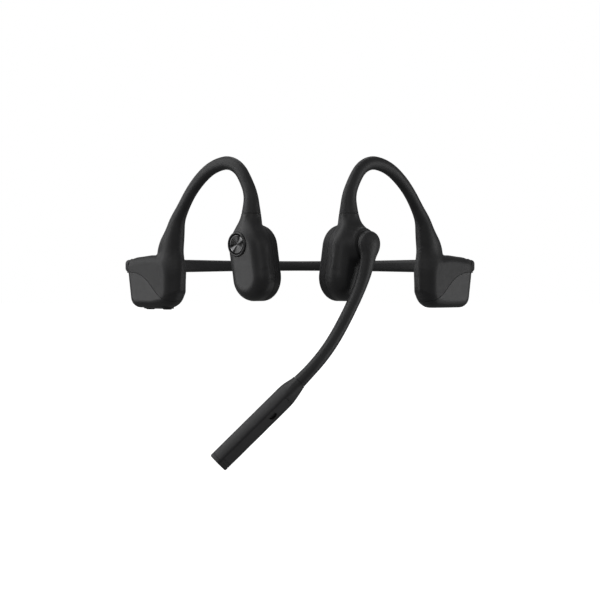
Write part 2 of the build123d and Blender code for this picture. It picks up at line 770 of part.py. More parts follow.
with BuildPart() as microphone_shell:
    for back, wide, thick, corner in CAPSULE_SECTIONS:
        with BuildSketch(tip_plane(back)):
            RectangleRounded(wide, thick, corner)
    loft()
    with BuildSketch(tip_plane(CAPSULE_SECTIONS[-1][0])):
        RectangleRounded(capsule_wide, capsule_thick, CAPSULE_SECTIONS[-1][3])
    extrude(amount=CAPSULE_SECTIONS[-1][0])
    fillet(microphone_shell.faces().sort_by(Axis(tip_frame()[0], tip_frame()[1]))[-1].edges(),
           CAPSULE_TIP_EDGE)
    with BuildSketch(tip_plane(CAPSULE_HOLLOW)):
        RectangleRounded(room_wide, room_thick, CAPSULE_WALL)
    extrude(amount=CAPSULE_HOLLOW + CAPSULE_WALL, mode=Mode.SUBTRACT)
    add(slab(panel_plane(PANEL_BACK, panel_floor), (PANEL_LONG, PANEL_WIDE, PANEL_THICK),
             PANEL_CORNER), mode=Mode.SUBTRACT)
    with BuildSketch(panel_plane(PORT_BACK, 0)):
        SlotOverall(PORT_LONG, PORT_WIDE)
    extrude(amount=capsule_thick, mode=Mode.SUBTRACT)
    add(lead_channel, mode=Mode.SUBTRACT)

with BuildPart() as microphone_panel:
    add(slab(panel_plane(PANEL_BACK, panel_floor),
             (PANEL_LONG - 2 * SEAM_GAP, PANEL_WIDE - 2 * SEAM_GAP, PANEL_THICK),
             PANEL_CORNER - SEAM_GAP))
    with BuildSketch(panel_plane(PORT_BACK, 0)):
        SlotOverall(PORT_LONG, PORT_WIDE)
    extrude(amount=capsule_thick, mode=Mode.SUBTRACT)

with BuildPart() as microphone_mesh:
    with BuildSketch(panel_plane(PORT_BACK, room_thick / 2)):
        SlotOverall(PORT_LONG - 2 * RUN_GAP, PORT_WIDE - 2 * RUN_GAP)
    extrude(amount=MESH_THICK)

with BuildPart() as microphone_end_cap:
    with BuildSketch(tip_plane(CAP_THICK)):
        RectangleRounded(room_wide - 2 * RUN_GAP, room_thick - 2 * RUN_GAP,
                         CAPSULE_WALL - RUN_GAP)
    extrude(amount=CAP_THICK)

with BuildPart() as microphone_board:
    add(slab(panel_plane(MIC_BOARD_BACK, -MIC_BOARD[2] / 2), MIC_BOARD, BOARD_CORNER))

with BuildPart() as microphone_elements:
    for back in MIC_BACKS:
        add(slab(panel_plane(back, MIC_BOARD[2] / 2), MIC_ELEMENT, CHIP_CORNER))

# ---------------------------------------------------------------- control pad
button_size = (VOLUME_LONG + 2 * VOLUME_RUN, VOLUME_WIDE + 2 * VOLUME_RUN)

with BuildPart() as pad_blank:
    add(slab(level(PAD_S, 0, PAD_FACE), (PAD_LONG, PAD_WIDE, PAD_INSIDE - PAD_FACE),
             PAD_CORNER))
    for s in VOLUME_S:
        with BuildSketch(level(s, 0, PAD_FACE)):
            SlotOverall(*button_size)
        extrude(amount=PAD_INSIDE - PAD_FACE, mode=Mode.SUBTRACT)
    with BuildSketch(level(PAD_S, 0, PAD_FACE)):
        RectangleRounded(PORT_SIZE[0], PORT_SIZE[1], PORT_CORNER)
    extrude(amount=PAD_INSIDE - PAD_FACE, mode=Mode.SUBTRACT)
    with BuildSketch(level(LIGHT_S, LIGHT_B, PAD_FACE)):
        Circle(LIGHT_R + RUN_GAP)
    extrude(amount=PAD_INSIDE - PAD_FACE, mode=Mode.SUBTRACT)

with BuildPart() as control_pad:
    mirror(pad_blank.part, about=Plane.YZ)

with BuildPart() as port_blank:
    add(slab(level(PAD_S, 0, PORT_LOW),
             (PORT_SIZE[0] - 2 * RUN_GAP, PORT_SIZE[1] - 2 * RUN_GAP, PORT_TOP - PORT_LOW),
             PORT_CORNER))
    add(slab(level(PAD_S, 0, PORT_LOW),
             (PORT_SIZE[0] - 2 * PORT_RIM, PORT_SIZE[1] - 2 * PORT_RIM, PORT_RECESS),
             PORT_CORNER - PORT_RIM), mode=Mode.SUBTRACT)
    for b in (-PIN_B, PIN_B):
        add(disc(level(PAD_S, b, PORT_LOW), PIN_R + RUN_GAP, PORT_TOP - PORT_LOW),
            mode=Mode.SUBTRACT)

with BuildPart() as charging_port:
    mirror(port_blank.part, about=Plane.YZ)

with BuildPart() as charging_pins:
    for b in (-PIN_B, PIN_B):
        mirror(disc(level(PAD_S, b, PIN_LOW), PIN_R, BOARD_LOW - PIN_LOW), about=Plane.YZ)

with BuildPart() as magnet_blank:
    add(slab(level(PAD_S, 0, PORT_TOP),
             (PORT_SIZE[0], PORT_SIZE[1], MAGNET_TOP - PORT_TOP), PORT_CORNER))
    for b in (-PIN_B, PIN_B):
        add(disc(level(PAD_S, b, PORT_TOP), PIN_R + RUN_GAP, MAGNET_TOP - PORT_TOP),
            mode=Mode.SUBTRACT)

with BuildPart() as charging_magnet:
    mirror(magnet_blank.part, about=Plane.YZ)

with BuildPart() as control_board:
    mirror(slab(level(PAD_S, 0, BOARD_LOW), CONTROL_BOARD, BOARD_CORNER), about=Plane.YZ)


def volume_button(s):
    """Pill-shaped button with the flange that holds it behind the pad."""
    with BuildPart() as body:
        with BuildSketch(level(s, 0, VOLUME_FACE)):
            SlotOverall(VOLUME_LONG, VOLUME_WIDE)
        extrude(amount=FLANGE_LOW - VOLUME_FACE)
        fillet(body.faces().sort_by(Axis.Z)[0].edges(), VOLUME_EDGE)
        with BuildSketch(level(s, 0, FLANGE_LOW)):
            SlotOverall(VOLUME_LONG + 2 * FLANGE, VOLUME_WIDE + 2 * FLANGE)
        extrude(amount=FLANGE_TOP - FLANGE_LOW)
    return body.part


def volume_switch(s):
    """Dome switch under a volume button."""
    return slab(level(s, 0, SWITCH_LOW), (SWITCH_LONG, SWITCH_WIDE, BOARD_LOW - SWITCH_LOW),
                BOARD_CORNER)


with BuildPart() as volume_up_button:
    mirror(volume_button(VOLUME_S[0]), about=Plane.YZ)

with BuildPart() as volume_down_button:
    mirror(volume_button(VOLUME_S[1]), about=Plane.YZ)

with BuildPart() as volume_switches:
    for s in VOLUME_S:
        mirror(volume_switch(s), about=Plane.YZ)

with BuildPart() as status_light_pipe:
    mirror(disc(level(LIGHT_S, LIGHT_B, PAD_FACE), LIGHT_R, LIGHT_TOP - PAD_FACE),
           about=Plane.YZ)

with BuildPart() as status_light:
    mirror(slab(level(LIGHT_S, LIGHT_B, LED_LOW), (LED_SIZE[0], LED_SIZE[1], LED_SIZE[2]),
                LED_CORNER), about=Plane.YZ)

# ---------------------------------------------------------------- write the pieces
pieces = {
    "neckband_sleeve": neckband_sleeve,
    "neckband_spring_wire": neckband_spring_wire,
    "neckband_cable": neckband_cable,
    "left_ear_hook": left_ear_hook,
    "right_ear_hook": right_ear_hook,
    "left_hook_wire": left_hook_wire,
    "right_hook_wire": right_hook_wire,
    "left_hook_cable": left_hook_cable,
    "right_hook_cable": right_hook_cable,
    "left_pod_cover": left_pod_cover,
    "right_pod_cover": right_pod_cover,
    "battery_cell": battery_cell,
    "battery_board": battery_board,
    "tag_antenna": tag_antenna,
    "main_board": main_board,
    "shielding_can": shielding_can,
    "radio_chip": radio_chip,
    "left_transducer_shell": left_transducer_shell,
    "right_transducer_shell": right_transducer_shell,
    "left_transducer_cover": left_transducer_cover,
    "right_transducer_cover": right_transducer_cover,
    "left_vibration_plate": left_vibration_plate,
    "right_vibration_plate": right_vibration_plate,
    "left_voice_coil": left_voice_coil,
    "right_voice_coil": right_voice_coil,
    "left_drive_magnet": left_drive_magnet,
    "right_drive_magnet": right_drive_magnet,
    "left_drive_yoke": left_drive_yoke,
    "right_drive_yoke": right_drive_yoke,
    "multifunction_ring": multifunction_ring,
    "multifunction_button": multifunction_button,
    "multifunction_switch": multifunction_switch,
    "multifunction_board": multifunction_board,
    "boom_seat_ring": boom_seat_ring,
    "boom_bushing": boom_bushing,
    "boom_friction_washer": boom_friction_washer,
    "boom_pivot_shaft": boom_pivot_shaft,
    "boom_retaining_clip": boom_retaining_clip,
    "boom_hub": boom_hub,
    "boom_arm": boom_arm,
    "boom_spine_wire": boom_spine_wire,
    "boom_cable": boom_cable,
    "microphone_shell": microphone_shell,
    "microphone_panel": microphone_panel,
    "microphone_mesh": microphone_mesh,
    "microphone_end_cap": microphone_end_cap,
    "microphone_board": microphone_board,
    "microphone_elements": microphone_elements,
    "control_pad": control_pad,
    "control_board": control_board,
    "volume_up_button": volume_up_button,
    "volume_down_button": volume_down_button,
    "volume_switches": volume_switches,
    "charging_port": charging_port,
    "charging_pins": charging_pins,
    "charging_magnet": charging_magnet,
    "status_light_pipe": status_light_pipe,
    "status_light": status_light,
}
os.makedirs("parts", exist_ok=True)
for name, piece in pieces.items():
    piece.part.label = name
    export_step(piece.part, f"parts/{name}.step")
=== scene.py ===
import math

import bpy
import numpy as np
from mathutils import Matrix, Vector

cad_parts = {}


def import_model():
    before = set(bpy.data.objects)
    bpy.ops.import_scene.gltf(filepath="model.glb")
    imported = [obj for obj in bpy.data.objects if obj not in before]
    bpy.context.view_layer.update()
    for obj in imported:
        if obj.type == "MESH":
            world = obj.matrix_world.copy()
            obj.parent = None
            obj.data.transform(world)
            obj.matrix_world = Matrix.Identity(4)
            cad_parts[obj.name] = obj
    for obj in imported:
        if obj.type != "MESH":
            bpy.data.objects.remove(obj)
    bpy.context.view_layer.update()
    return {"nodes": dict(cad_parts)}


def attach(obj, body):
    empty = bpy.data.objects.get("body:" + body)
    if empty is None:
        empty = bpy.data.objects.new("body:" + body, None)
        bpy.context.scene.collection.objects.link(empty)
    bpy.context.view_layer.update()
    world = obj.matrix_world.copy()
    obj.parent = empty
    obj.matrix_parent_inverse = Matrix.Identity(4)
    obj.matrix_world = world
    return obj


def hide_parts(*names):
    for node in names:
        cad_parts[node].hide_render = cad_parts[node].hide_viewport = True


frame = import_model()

# Lengths are in millimetres until a mesh is made. The two ear arms share one local frame:
# s runs backwards along the arm, b outwards from the head, z up. The right arm is the mirror.
MM = 0.001
ARM_ANGLE = math.radians(43.5)
ARM_ORIGIN = np.array([18.4, -4.46, 0.0])
E_S = np.array([math.cos(ARM_ANGLE), math.sin(ARM_ANGLE), 0.0])
N_OUT = np.array([math.sin(ARM_ANGLE), -math.cos(ARM_ANGLE), 0.0])
UP = np.array([0.0, 0.0, 1.0])
LEFT = 1.0
RIGHT = -1.0

# surface meshing
STEP = 0.6                 # grid of the skins
BLOCK = 8                  # grid points per side of a block
REACH = 1.3                # safety on the distance at which a block is skipped
PROBE = 0.04               # half step of the numeric gradient
FAR = 9.0                  # stands for far away where two fields are put together
SEAM_BEVEL = 0.11
SEAM_GAP = 0.04
SKIN_WALL = 1.2
SHARP_ANGLE = math.radians(38)

# hook and neck: (s, z) points of the middle line, and sections as distance along it, width in
# the plane, thickness, b and s offsets
STEM_FOOT = (1.0, 2.0)
HOOK_POINTS = [
    (1.4, 25.0), (2.8, 31.0), (6.3, 36.8), (17.0, 41.4), (28.0, 37.3), (38.5, 27.1),
    (42.8, 20.8), (44.9, 16.2), (47.0, 10.0), (48.8, 1.4), (49.8, -7.0),
]
STEM_SECTIONS = [
    (0.0, 14.0, 3.0, 0.8, 0.3),
    (6.0, 15.0, 6.4, 1.0, 0.4),
    (11.5, 12.2, 9.0, 0.4, 0.8),
    (15.5, 9.2, 9.2, -0.1, 0.6),
    (19.2, 7.7, 7.6, -0.1, 0.1),
    (23.7, 6.5, 5.8, 0.0, 0.0),
    (29.3, 5.6, 4.7, 0.0, 0.0),
    (36.3, 5.5, 4.4, 0.0, 0.0),
    (62.2, 5.4, 4.4, 0.0, 0.0),
    (70.8, 5.2, 4.4, 0.0, 0.0),
    (77.8, 5.3, 4.6, 0.0, 0.0),
    (82.3, 6.0, 5.2, 0.0, 0.0),
    (87.4, 7.4, 7.0, 0.0, 0.0),
    (91.6, 9.2, 8.3, 0.0, 0.0),
    (94.6, 11.2, 8.8, 0.0, 0.0),
    (98.2, 13.4, 8.2, 0.0, 0.0),
    (102.4, 14.0, 6.6, 0.0, 0.0),
    (111.0, 14.0, 3.0, 0.0, 0.0),
]
NECK_SEAM_Z = 21.0
NECK_REAR_S = 12.0
MIDDLE_S = 30.0            # transducer in front of this, pod behind it

# pod: outline corners are (s, z, radius), and the seam runs through (s, z) points
POD_HALF = 5.5
POD_OUTLINE = [
    (42.2, -17.3, 7.0), (42.2, 4.45, 7.5), (57.2, 4.45, 0.6), (71.0, 3.0, 4.6),
    (67.9, -17.3, 4.6),
]
POD_EDGE_REAR = 3.4
POD_EDGE_FRONT = 5.45
POD_EDGE_CHANGE = (43.0, 56.0)
HOOK_FILLET = (5.0, 0.8)   # at the front of the pod and behind it
HOOK_FILLET_CHANGE = (47.0, 54.0)
POD_SEAM = [
    (80.0, -2.6), (74.0, -2.6), (68.8, -2.6), (65.5, -2.6), (62.0, -3.2), (59.1, -4.4),
    (56.7, -6.0), (54.4, -8.1), (52.4, -10.2), (50.3, -12.0), (48.0, -13.4), (45.2, -14.5),
    (36.0, -15.3), (30.0, -15.4),
]
SLEEVE_SEAM_S = 72.2

# transducer: the pill runs between two (s, z) points
PILL_LOW = (-0.96, -4.5)
PILL_HIGH = (0.96, 6.9)
PILL_R = 9.5
PILL_HALF = 6.2
PILL_OUT_EDGE = 5.4
PILL_SKIN_EDGE = 2.3
PILL_EDGE_CHANGE = (-2.0, 2.0)
PILL_CREASE = (0.9, 4.0)   # fillet under the hook, on the skin side and outside
PILL_CREASE_CHANGE = (-3.5, 1.0)
PILL_SPLIT = -1.6
PILL_REAR_S = 14.0
KNOB = (3.1, 8.6)
BOSS_R = 6.2
BOSS_TOP = 7.9
BOSS_FOOT = 1.0
BOSS_EDGE = 0.5
BOSS_FILLET = 3.6
HOLE_FOOT = 2.0            # the holes for the round controls start here
RING_R = 5.0
BUSHING_R = 2.6

# neckband: heights are (distance from the middle plane, full height)
BAND_HALF = 1.7
BAND_LEAVE = 70.0
BAND_BEND_R = 9.0
BAND_SIDE_R = 32.0
BAND_BACK_Y = 96.0
BAND_EDGE = 1.6
BAND_ROOT_HALF = 3.0
BAND_ROOT_S = (60.0, 77.0)
BAND_FILLET = 2.0
BAND_STEP = 1.3
BAND_HEIGHTS = [(0.0, 4.2), (29.0, 4.6), (46.0, 5.3), (60.0, 5.8), (67.0, 5.3), (80.0, 5.0)]

# boom: (s, b, z) points of the middle line
BOOM_POINTS = [
    (3.1, 10.5, 8.6), (-0.1, 10.5, -3.9), (-5.6, 10.1, -13.8), (-13.1, 9.0, -25.9),
    (-19.6, 8.5, -33.8), (-27.0, 7.3, -40.8), (-54.8, -15.0, -75.7),
]
BOOM_R = 2.5
BOOM_NECK_R = 2.7          # where the arm meets the capsule
BOOM_NECK_LONG = 4.0
ARM_HALF_WIDE = 3.7        # where the arm leaves the hub
ARM_HALF_THICK = 2.3
ARM_DOME = 3.4             # its round end on the hub
BOOM_BEVEL = 0.06
HUB_R = 5.35
HUB_BACK = 8.5
HUB_TOP = 11.75
HUB_EDGE = 1.95
HUB_BACK_EDGE = 0.25
HUB_FILLET = 1.6
CAPSULE_SECTIONS = [          # back from the tip, width across the panel, thickness
    (0.0, 7.8, 7.0), (37.3, 7.8, 7.0), (39.8, 7.3, 6.7), (42.2, 6.2, 6.0), (44.5, 5.4, 5.4),
]
CAPSULE_START = 44.5
CAPSULE_EDGE = 2.65
CAPSULE_EDGE_MORE = 0.5    # rounder on the side away from the panel
CAPSULE_EDGE_LESS = 1.95   # crisper beside the panel
CAPSULE_CRISP_FROM = 34.0
CAPSULE_EDGE_HALF = 0.6
CAPSULE_SLOPE_FROM = -0.8  # the sides lean in from here towards the panel
CAPSULE_SLOPE_LONG = 4.5
CAPSULE_END_EDGE = 0.5
CAP_LONG = 1.6
TIP_MORE = 0.4             # the tip stands this far past the boom's last point
PANEL_LOOK = np.array([0.48, -0.72, -0.5])
PANEL_BACK = 19.65
PANEL_LONG = 33.7
PANEL_WIDE = 5.0
PANEL_CORNER = 0.9
PANEL_INSET = 0.12
PANEL_WALL = 0.68
PANEL_BEVEL = 0.12
PANEL_STEP = 0.45
PORT_BACK = 27.9
PORT_LONG = 3.4
PORT_WIDE = 2.6

# control pad under the right pod
PAD_S = 55.3
PAD_LONG = 15.2
PAD_WIDE = 6.6
PAD_GAP = 0.06
PAD_SLOT_TOP = -12.0
PAD_SLOT_GAP = 0.02
VOLUME_S = (50.2, 60.4)
VOLUME_LONG = 3.9
VOLUME_WIDE = 2.7


# ---------------------------------------------------------------- small geometry
def world(points, side):
    """Arm points (s, b, z) in the shared frame, still in millimetres."""
    out = (ARM_ORIGIN + points[:, 0:1] * E_S + points[:, 1:2] * N_OUT + points[:, 2:3] * UP)
    out[:, 0] *= side
    return out


def unit(vectors):
    """Vectors scaled to length one."""
    length = np.linalg.norm(vectors, axis=-1, keepdims=True)
    return vectors / np.maximum(length, 1e-9)


def smooth_min(a, b, k):
    """Union of two distances with a fillet about k wide."""
    h = np.clip(0.5 + 0.5 * (b - a) / k, 0.0, 1.0)
    return b + (a - b) * h - k * h * (1.0 - h)


def ramp(x, low, high):
    """Smooth step from 0 at low to 1 at high."""
    t = np.clip((x - low) / (high - low), 0.0, 1.0)
    return t * t * (3.0 - 2.0 * t)


def rounded(qx, qy, r):
    """Distance to a corner with radius r, from the distances to its two faces."""
    x = qx + r
    y = qy + r
    return np.minimum(np.maximum(x, y), 0.0) + np.hypot(np.maximum(x, 0), np.maximum(y, 0)) - r


def ellipse(u, w, a, c):
    """Distance to an ellipse with half axes a and c."""
    k0 = np.hypot(u / a, w / c)
    k1 = np.hypot(u / a ** 2, w / c ** 2)
    return k0 * (k0 - 1.0) / np.maximum(k1, 1e-6)


def rotated(vector, angle):
    """Plane vector turned by an angle, or by each of several."""
    cos, sin = np.cos(angle), np.sin(angle)
    return np.stack([cos * vector[0] - sin * vector[1], sin * vector[0] + cos * vector[1]], -1)


def tangent_chain(points, heading, spacing):
    """Dense points along arcs that each start in the direction the last one ended."""
    here = np.array(points[0], float)
    heading = unit(np.array(heading, float))
    out = [here[None, :]]
    for point in points[1:]:
        chord = np.array(point, float) - here
        length = np.hypot(*chord)
        turn = math.atan2(heading[0] * chord[1] - heading[1] * chord[0], heading @ chord)
        count = max(2, int(length / spacing) + 1)
        share = np.arange(1, count + 1) / count
        angle = turn * share
        run = length * (np.sin(angle) / math.sin(turn) if abs(turn) > 1e-6 else share)
        out.append(here + run[:, None] * rotated(heading, angle))
        heading = rotated(heading, 2 * turn)
        here = np.array(point, float)
    return np.concatenate(out)


def even(points, spacing):
    """The same line with evenly spaced points, and the distance along it."""
    run = np.concatenate([[0.0], np.cumsum(np.linalg.norm(np.diff(points, axis=0), axis=1))])
    count = int(run[-1] / spacing) + 1
    at = np.linspace(0.0, run[-1], count)
    return np.stack([np.interp(at, run, points[:, i]) for i in range(points.shape[1])], 1), at


def softened(values, width):
    """Values averaged along the line, with the ends held."""
    kernel = np.ones(width) / width
    out = values
    for _ in range(2):
        padded = np.pad(out, (width // 2, width - 1 - width // 2), mode="edge")
        out = np.convolve(padded, kernel, "valid")
    return out


class Line:
    """A middle line with a value table along it, and the place of any point beside it."""

    def __init__(self, points, spacing):
        self.points, self.run = even(points, spacing)
        self.heading = unit(np.gradient(self.points, axis=0))

    def table(self, rows, column, width=9):
        """One column of a value table, read at every sample and softened."""
        values = np.interp(self.run, [row[0] for row in rows], [row[column] for row in rows])
        return softened(values, width)

    def nearest(self, p):
        """Index of the nearest sample, the offset from it, and how far that lies along the line."""
        index = np.empty(len(p), int)
        for start in range(0, len(p), 20000):
            part = p[start:start + 20000]
            gap = ((part[:, None, :] - self.points[None, :, :]) ** 2).sum(2)
            index[start:start + 20000] = gap.argmin(1)
        offset = p - self.points[index]
        along = (offset * self.heading[index]).sum(1)
        return index, offset, along

    def read(self, values, index, along):
        """Table values between samples."""
        return np.interp(self.run[index] + along, self.run, values)


def polygon_distance(p, corners):
    """Signed distance to a polygon with rounded corners, negative inside."""
    a = corners
    b = np.roll(corners, -1, axis=0)
    edge = b - a
    out = np.full(len(p), np.inf)
    crossings = np.zeros(len(p), bool)
    for start, run, end in zip(a, edge, b):
        rel = p - start
        t = np.clip((rel @ run) / max(run @ run, 1e-12), 0.0, 1.0)
        out = np.minimum(out, np.hypot(*(rel - t[:, None] * run).T))
        straddle = (start[1] > p[:, 1]) != (end[1] > p[:, 1])
        if abs(run[1]) > 1e-12:
            crossings ^= straddle & (p[:, 0] < start[0] + (p[:, 1] - start[1]) * run[0] / run[1])
    return np.where(crossings, -out, out)


def round_corners(corners, count=7):
    """Polygon points with an arc at each corner, from (x, y, radius) rows."""
    out = []
    for i, (x, y, r) in enumerate(corners):
        here = np.array([x, y])
        into = unit(here - np.array(corners[i - 1][:2]))
        away = unit(np.array(corners[(i + 1) % len(corners)][:2]) - here)
        turn = math.acos(np.clip(into @ away, -1, 1))
        cut = r * math.tan(turn / 2)
        bend = math.copysign(1.0, into[0] * away[1] - into[1] * away[0])
        centre = here - into * cut + np.array([-into[1], into[0]]) * bend * r
        start = here - into * cut - centre
        out.append(centre + rotated(start, np.linspace(0.0, turn, count) * bend))
    return np.concatenate(out)


# ---------------------------------------------------------------- surfaces from a distance field
def gradient(field, p):
    """Numeric gradient of a field."""
    out = np.empty_like(p)
    for axis in range(3):
        shift = np.zeros(3)
        shift[axis] = PROBE
        out[:, axis] = (field(p + shift) - field(p - shift)) / (2 * PROBE)
    return out


def settle(field, p, rounds=3):
    """Points moved onto the surface where the field is zero."""
    for _ in range(rounds):
        slope = gradient(field, p)
        p = p - slope * (field(p) / np.maximum((slope ** 2).sum(1), 1e-6))[:, None]
    return p


def surface(field, low, high, step=STEP):
    """Quad mesh of the surface where the field is zero (surface nets on a sparse grid)."""
    low = np.array(low, float)
    count = np.ceil((np.array(high) - low) / step / BLOCK).astype(int) * BLOCK
    blocks = np.stack(np.meshgrid(*[np.arange(n // BLOCK) for n in count], indexing="ij"), -1)
    blocks = blocks.reshape(-1, 3)
    middle = field(low + (blocks * BLOCK + (BLOCK - 1) / 2) * step)
    near = np.abs(middle) < REACH * step * BLOCK * math.sqrt(3) / 2
    values = np.repeat(np.repeat(np.repeat(
        np.sign(middle).reshape(count // BLOCK), BLOCK, 0), BLOCK, 1), BLOCK, 2)
    inner = np.stack(np.meshgrid(*[np.arange(BLOCK)] * 3, indexing="ij"), -1).reshape(-1, 3)
    spots = (blocks[near][:, None, :] * BLOCK + inner[None]).reshape(-1, 3)
    values[tuple(spots.T)] = field(low + spots * step)
    solid = values < 0
    corners = np.array([(i, j, k) for i in (0, 1) for j in (0, 1) for k in (0, 1)])
    size = count - 1

    def window(grid, c):
        return grid[c[0]:c[0] + size[0], c[1]:c[1] + size[1], c[2]:c[2] + size[2]]

    filled = sum(window(solid, c).astype(np.int8) for c in corners)
    cells = np.argwhere((filled > 0) & (filled < 8))
    number = np.full(size, -1)
    number[tuple(cells.T)] = np.arange(len(cells))
    total = np.zeros((len(cells), 3))
    hits = np.zeros(len(cells))
    for c in corners:
        for axis in range(3):
            if c[axis]:
                continue
            other = c.copy()
            other[axis] = 1
            va = values[tuple((cells + c).T)]
            vb = values[tuple((cells + other).T)]
            cross = (va < 0) != (vb < 0)
            share = np.where(cross, va / np.where(cross, va - vb, 1.0), 0.0)
            spot = cells + c + share[:, None] * (other - c)
            total += spot * cross[:, None]
            hits += cross
    points = low + total / hits[:, None] * step
    quads = []
    for axis in range(3):
        one, two = (axis + 1) % 3, (axis + 2) % 3
        first = [slice(1, -1)] * 3
        second = [slice(1, -1)] * 3
        first[axis] = slice(1, -2)
        second[axis] = slice(2, -1)
        a = solid[tuple(first)]
        b = solid[tuple(second)]
        edges = np.argwhere(a != b) + 1
        flip = a[tuple((edges - 1).T)]
        ring = []
        for du, dv in ((1, 1), (0, 1), (0, 0), (1, 0)):
            cell = edges.copy()
            cell[:, one] -= du
            cell[:, two] -= dv
            ring.append(number[tuple(cell.T)])
        quad = np.stack(ring, 1)
        quads.append(np.where(flip[:, None], quad, quad[:, ::-1]))
    return settle(field, points), np.concatenate(quads)


def trimmed(field, points, quads, keep):
    """The part of a mesh where keep is positive: points, faces, and the cut's edges."""
    value = keep(points)
    stays = value > 0
    whole = stays[quads].all(1)
    cut = stays[quads].any(1) & ~whole
    tris = np.concatenate([quads[cut][:, [0, 1, 2]], quads[cut][:, [0, 2, 3]]])
    faces = [quads[whole]]
    inside = stays[tris]
    faces.append(tris[inside.all(1)])
    mixed = inside.any(1) & ~inside.all(1)
    tris, inside = tris[mixed], inside[mixed]
    lone = inside.sum(1) == 1
    odd = np.where(lone, inside.argmax(1), (~inside).argmax(1))
    rows = np.arange(len(tris))
    a, b, c = tris[rows, odd], tris[rows, (odd + 1) % 3], tris[rows, (odd + 2) % 3]
    pairs = np.sort(np.concatenate([np.stack([a, b], 1), np.stack([a, c], 1)]), 1)
    pairs, where = np.unique(pairs, axis=0, return_inverse=True)
    where = where.reshape(-1)
    share = value[pairs[:, 0]] / (value[pairs[:, 0]] - value[pairs[:, 1]])
    fresh = points[pairs[:, 0]] + share[:, None] * (points[pairs[:, 1]] - points[pairs[:, 0]])
    fresh = settle(field, fresh, 1)
    ab = where[:len(a)] + len(points)
    ac = where[len(a):] + len(points)
    points = np.concatenate([points, fresh])
    faces.append(np.stack([a, ab, ac], 1)[lone])
    faces.append(np.stack([ab, b, c], 1)[~lone])
    faces.append(np.stack([ab, c, ac], 1)[~lone])
    edges = np.concatenate([np.stack([ab, ac], 1)[lone], np.stack([ac, ab], 1)[~lone]])
    used = np.unique(np.concatenate([part.reshape(-1) for part in faces]))
    number = np.full(len(points), -1)
    number[used] = np.arange(len(used))
    return points[used], [number[part] for part in faces if len(part)], number[edges]


def shell(field, points, quads, keep, wall=SKIN_WALL, bevel=SEAM_BEVEL):
    """Closed shell of one moulding, with a rolled edge along every seam: points, normals, faces."""
    points, faces, edges = trimmed(field, points, quads, lambda p: keep(p) - bevel)
    normals = unit(gradient(field, points))
    if not len(edges):
        return points, normals, faces
    rim = np.unique(edges)
    out = -gradient(keep, points[rim])
    out = unit(out - (out * normals[rim]).sum(1, keepdims=True) * normals[rim])
    n = normals[rim]
    base = points[rim]
    rows = [
        (base + bevel * (0.38 * out - 0.08 * n), unit(0.4 * out + n)),
        (base + bevel * (0.71 * out - 0.29 * n), unit(out + n)),
        (base + bevel * (out - n), out),
        (base + bevel * out - wall * n, out),
    ]
    place = np.full(len(points), -1)
    place[rim] = np.arange(len(rim))
    last = edges
    all_points, all_normals = [points], [normals]
    count = len(points)
    for spots, directions in rows:
        ring = place[edges] + count
        faces.append(np.stack([last[:, 1], last[:, 0], ring[:, 0], ring[:, 1]], 1))
        all_points.append(spots)
        all_normals.append(directions)
        count += len(spots)
        last = ring
    inner = edges + count
    faces.append(np.stack([last[:, 1], last[:, 0], inner[:, 0], inner[:, 1]], 1))
    outer_faces = faces[:len(faces) - len(rows) - 1]
    faces += [part[:, ::-1] + count for part in outer_faces]
    all_points.append(points - wall * normals)
    all_normals.append(-normals)
    return np.concatenate(all_points), np.concatenate(all_normals), faces


def linked(name, data):
    """New object in the scene."""
    thing = bpy.data.objects.new(name, data)
    bpy.context.scene.collection.objects.link(thing)
    return thing


def add_mesh(name, points, faces, slot, body, replaces, normals=None, flip=False):
    """A piece in the scene, from millimetre points in the shared frame."""
    lists = []
    for part in faces:
        rows = np.asarray(part)
        lists += (rows[:, ::-1] if flip else rows).tolist()
    mesh = bpy.data.meshes.new(name)
    mesh.from_pydata((points * MM).tolist(), [], lists)
    mesh.validate()
    mesh.update()
    mesh.polygons.foreach_set("use_smooth", [True] * len(mesh.polygons))
    if normals is None:
        mesh.set_sharp_from_angle(angle=SHARP_ANGLE)
    elif len(mesh.vertices) == len(normals):
        mesh.normals_split_custom_set_from_vertices(normals.tolist())
    mesh.materials.append(SLOTS[slot])
    piece = linked(name, mesh)
    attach(piece, body)
    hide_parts(*replaces)


def add_shell(name, field, net, keep, side, slot, replaces):
    """One moulding of an ear arm, placed on its side of the head."""
    points, normals, faces = shell(field, *net, keep)
    directions = normals[:, 0:1] * E_S + normals[:, 1:2] * N_OUT + normals[:, 2:3] * UP
    directions[:, 0] *= side
    # (s, b, z) is a left-handed triple, so the left arm's faces turn over
    add_mesh(name, world(points, side), faces, slot, "headset", replaces, directions, flip=side > 0)


# ---------------------------------------------------------------- fields of an ear arm
stem = Line(tangent_chain([STEM_FOOT] + HOOK_POINTS, (0.02, 1.0), 0.3), 0.5)
stem_wide = stem.table(STEM_SECTIONS, 1) / 2
stem_thick = stem.table(STEM_SECTIONS, 2) / 2
stem_b = stem.table(STEM_SECTIONS, 3)
stem_s = stem.table(STEM_SECTIONS, 4)
pod_outline = round_corners(POD_OUTLINE)


def stem_field(p):
    """Hook over the ear and the neck above the transducer."""
    index, offset, along = stem.nearest(p[:, [0, 2]])
    heading = stem.heading[index]
    u = offset[:, 0] * heading[:, 1] - offset[:, 1] * heading[:, 0]
    u = u - stem.read(stem_s, index, along)
    w = p[:, 1] - stem.read(stem_b, index, along)
    skin = ellipse(u, w, stem.read(stem_wide, index, along), stem.read(stem_thick, index, along))
    end = np.where(index == 0, -along, np.where(index == len(stem.run) - 1, along, -FAR))
    return np.maximum(skin, end)


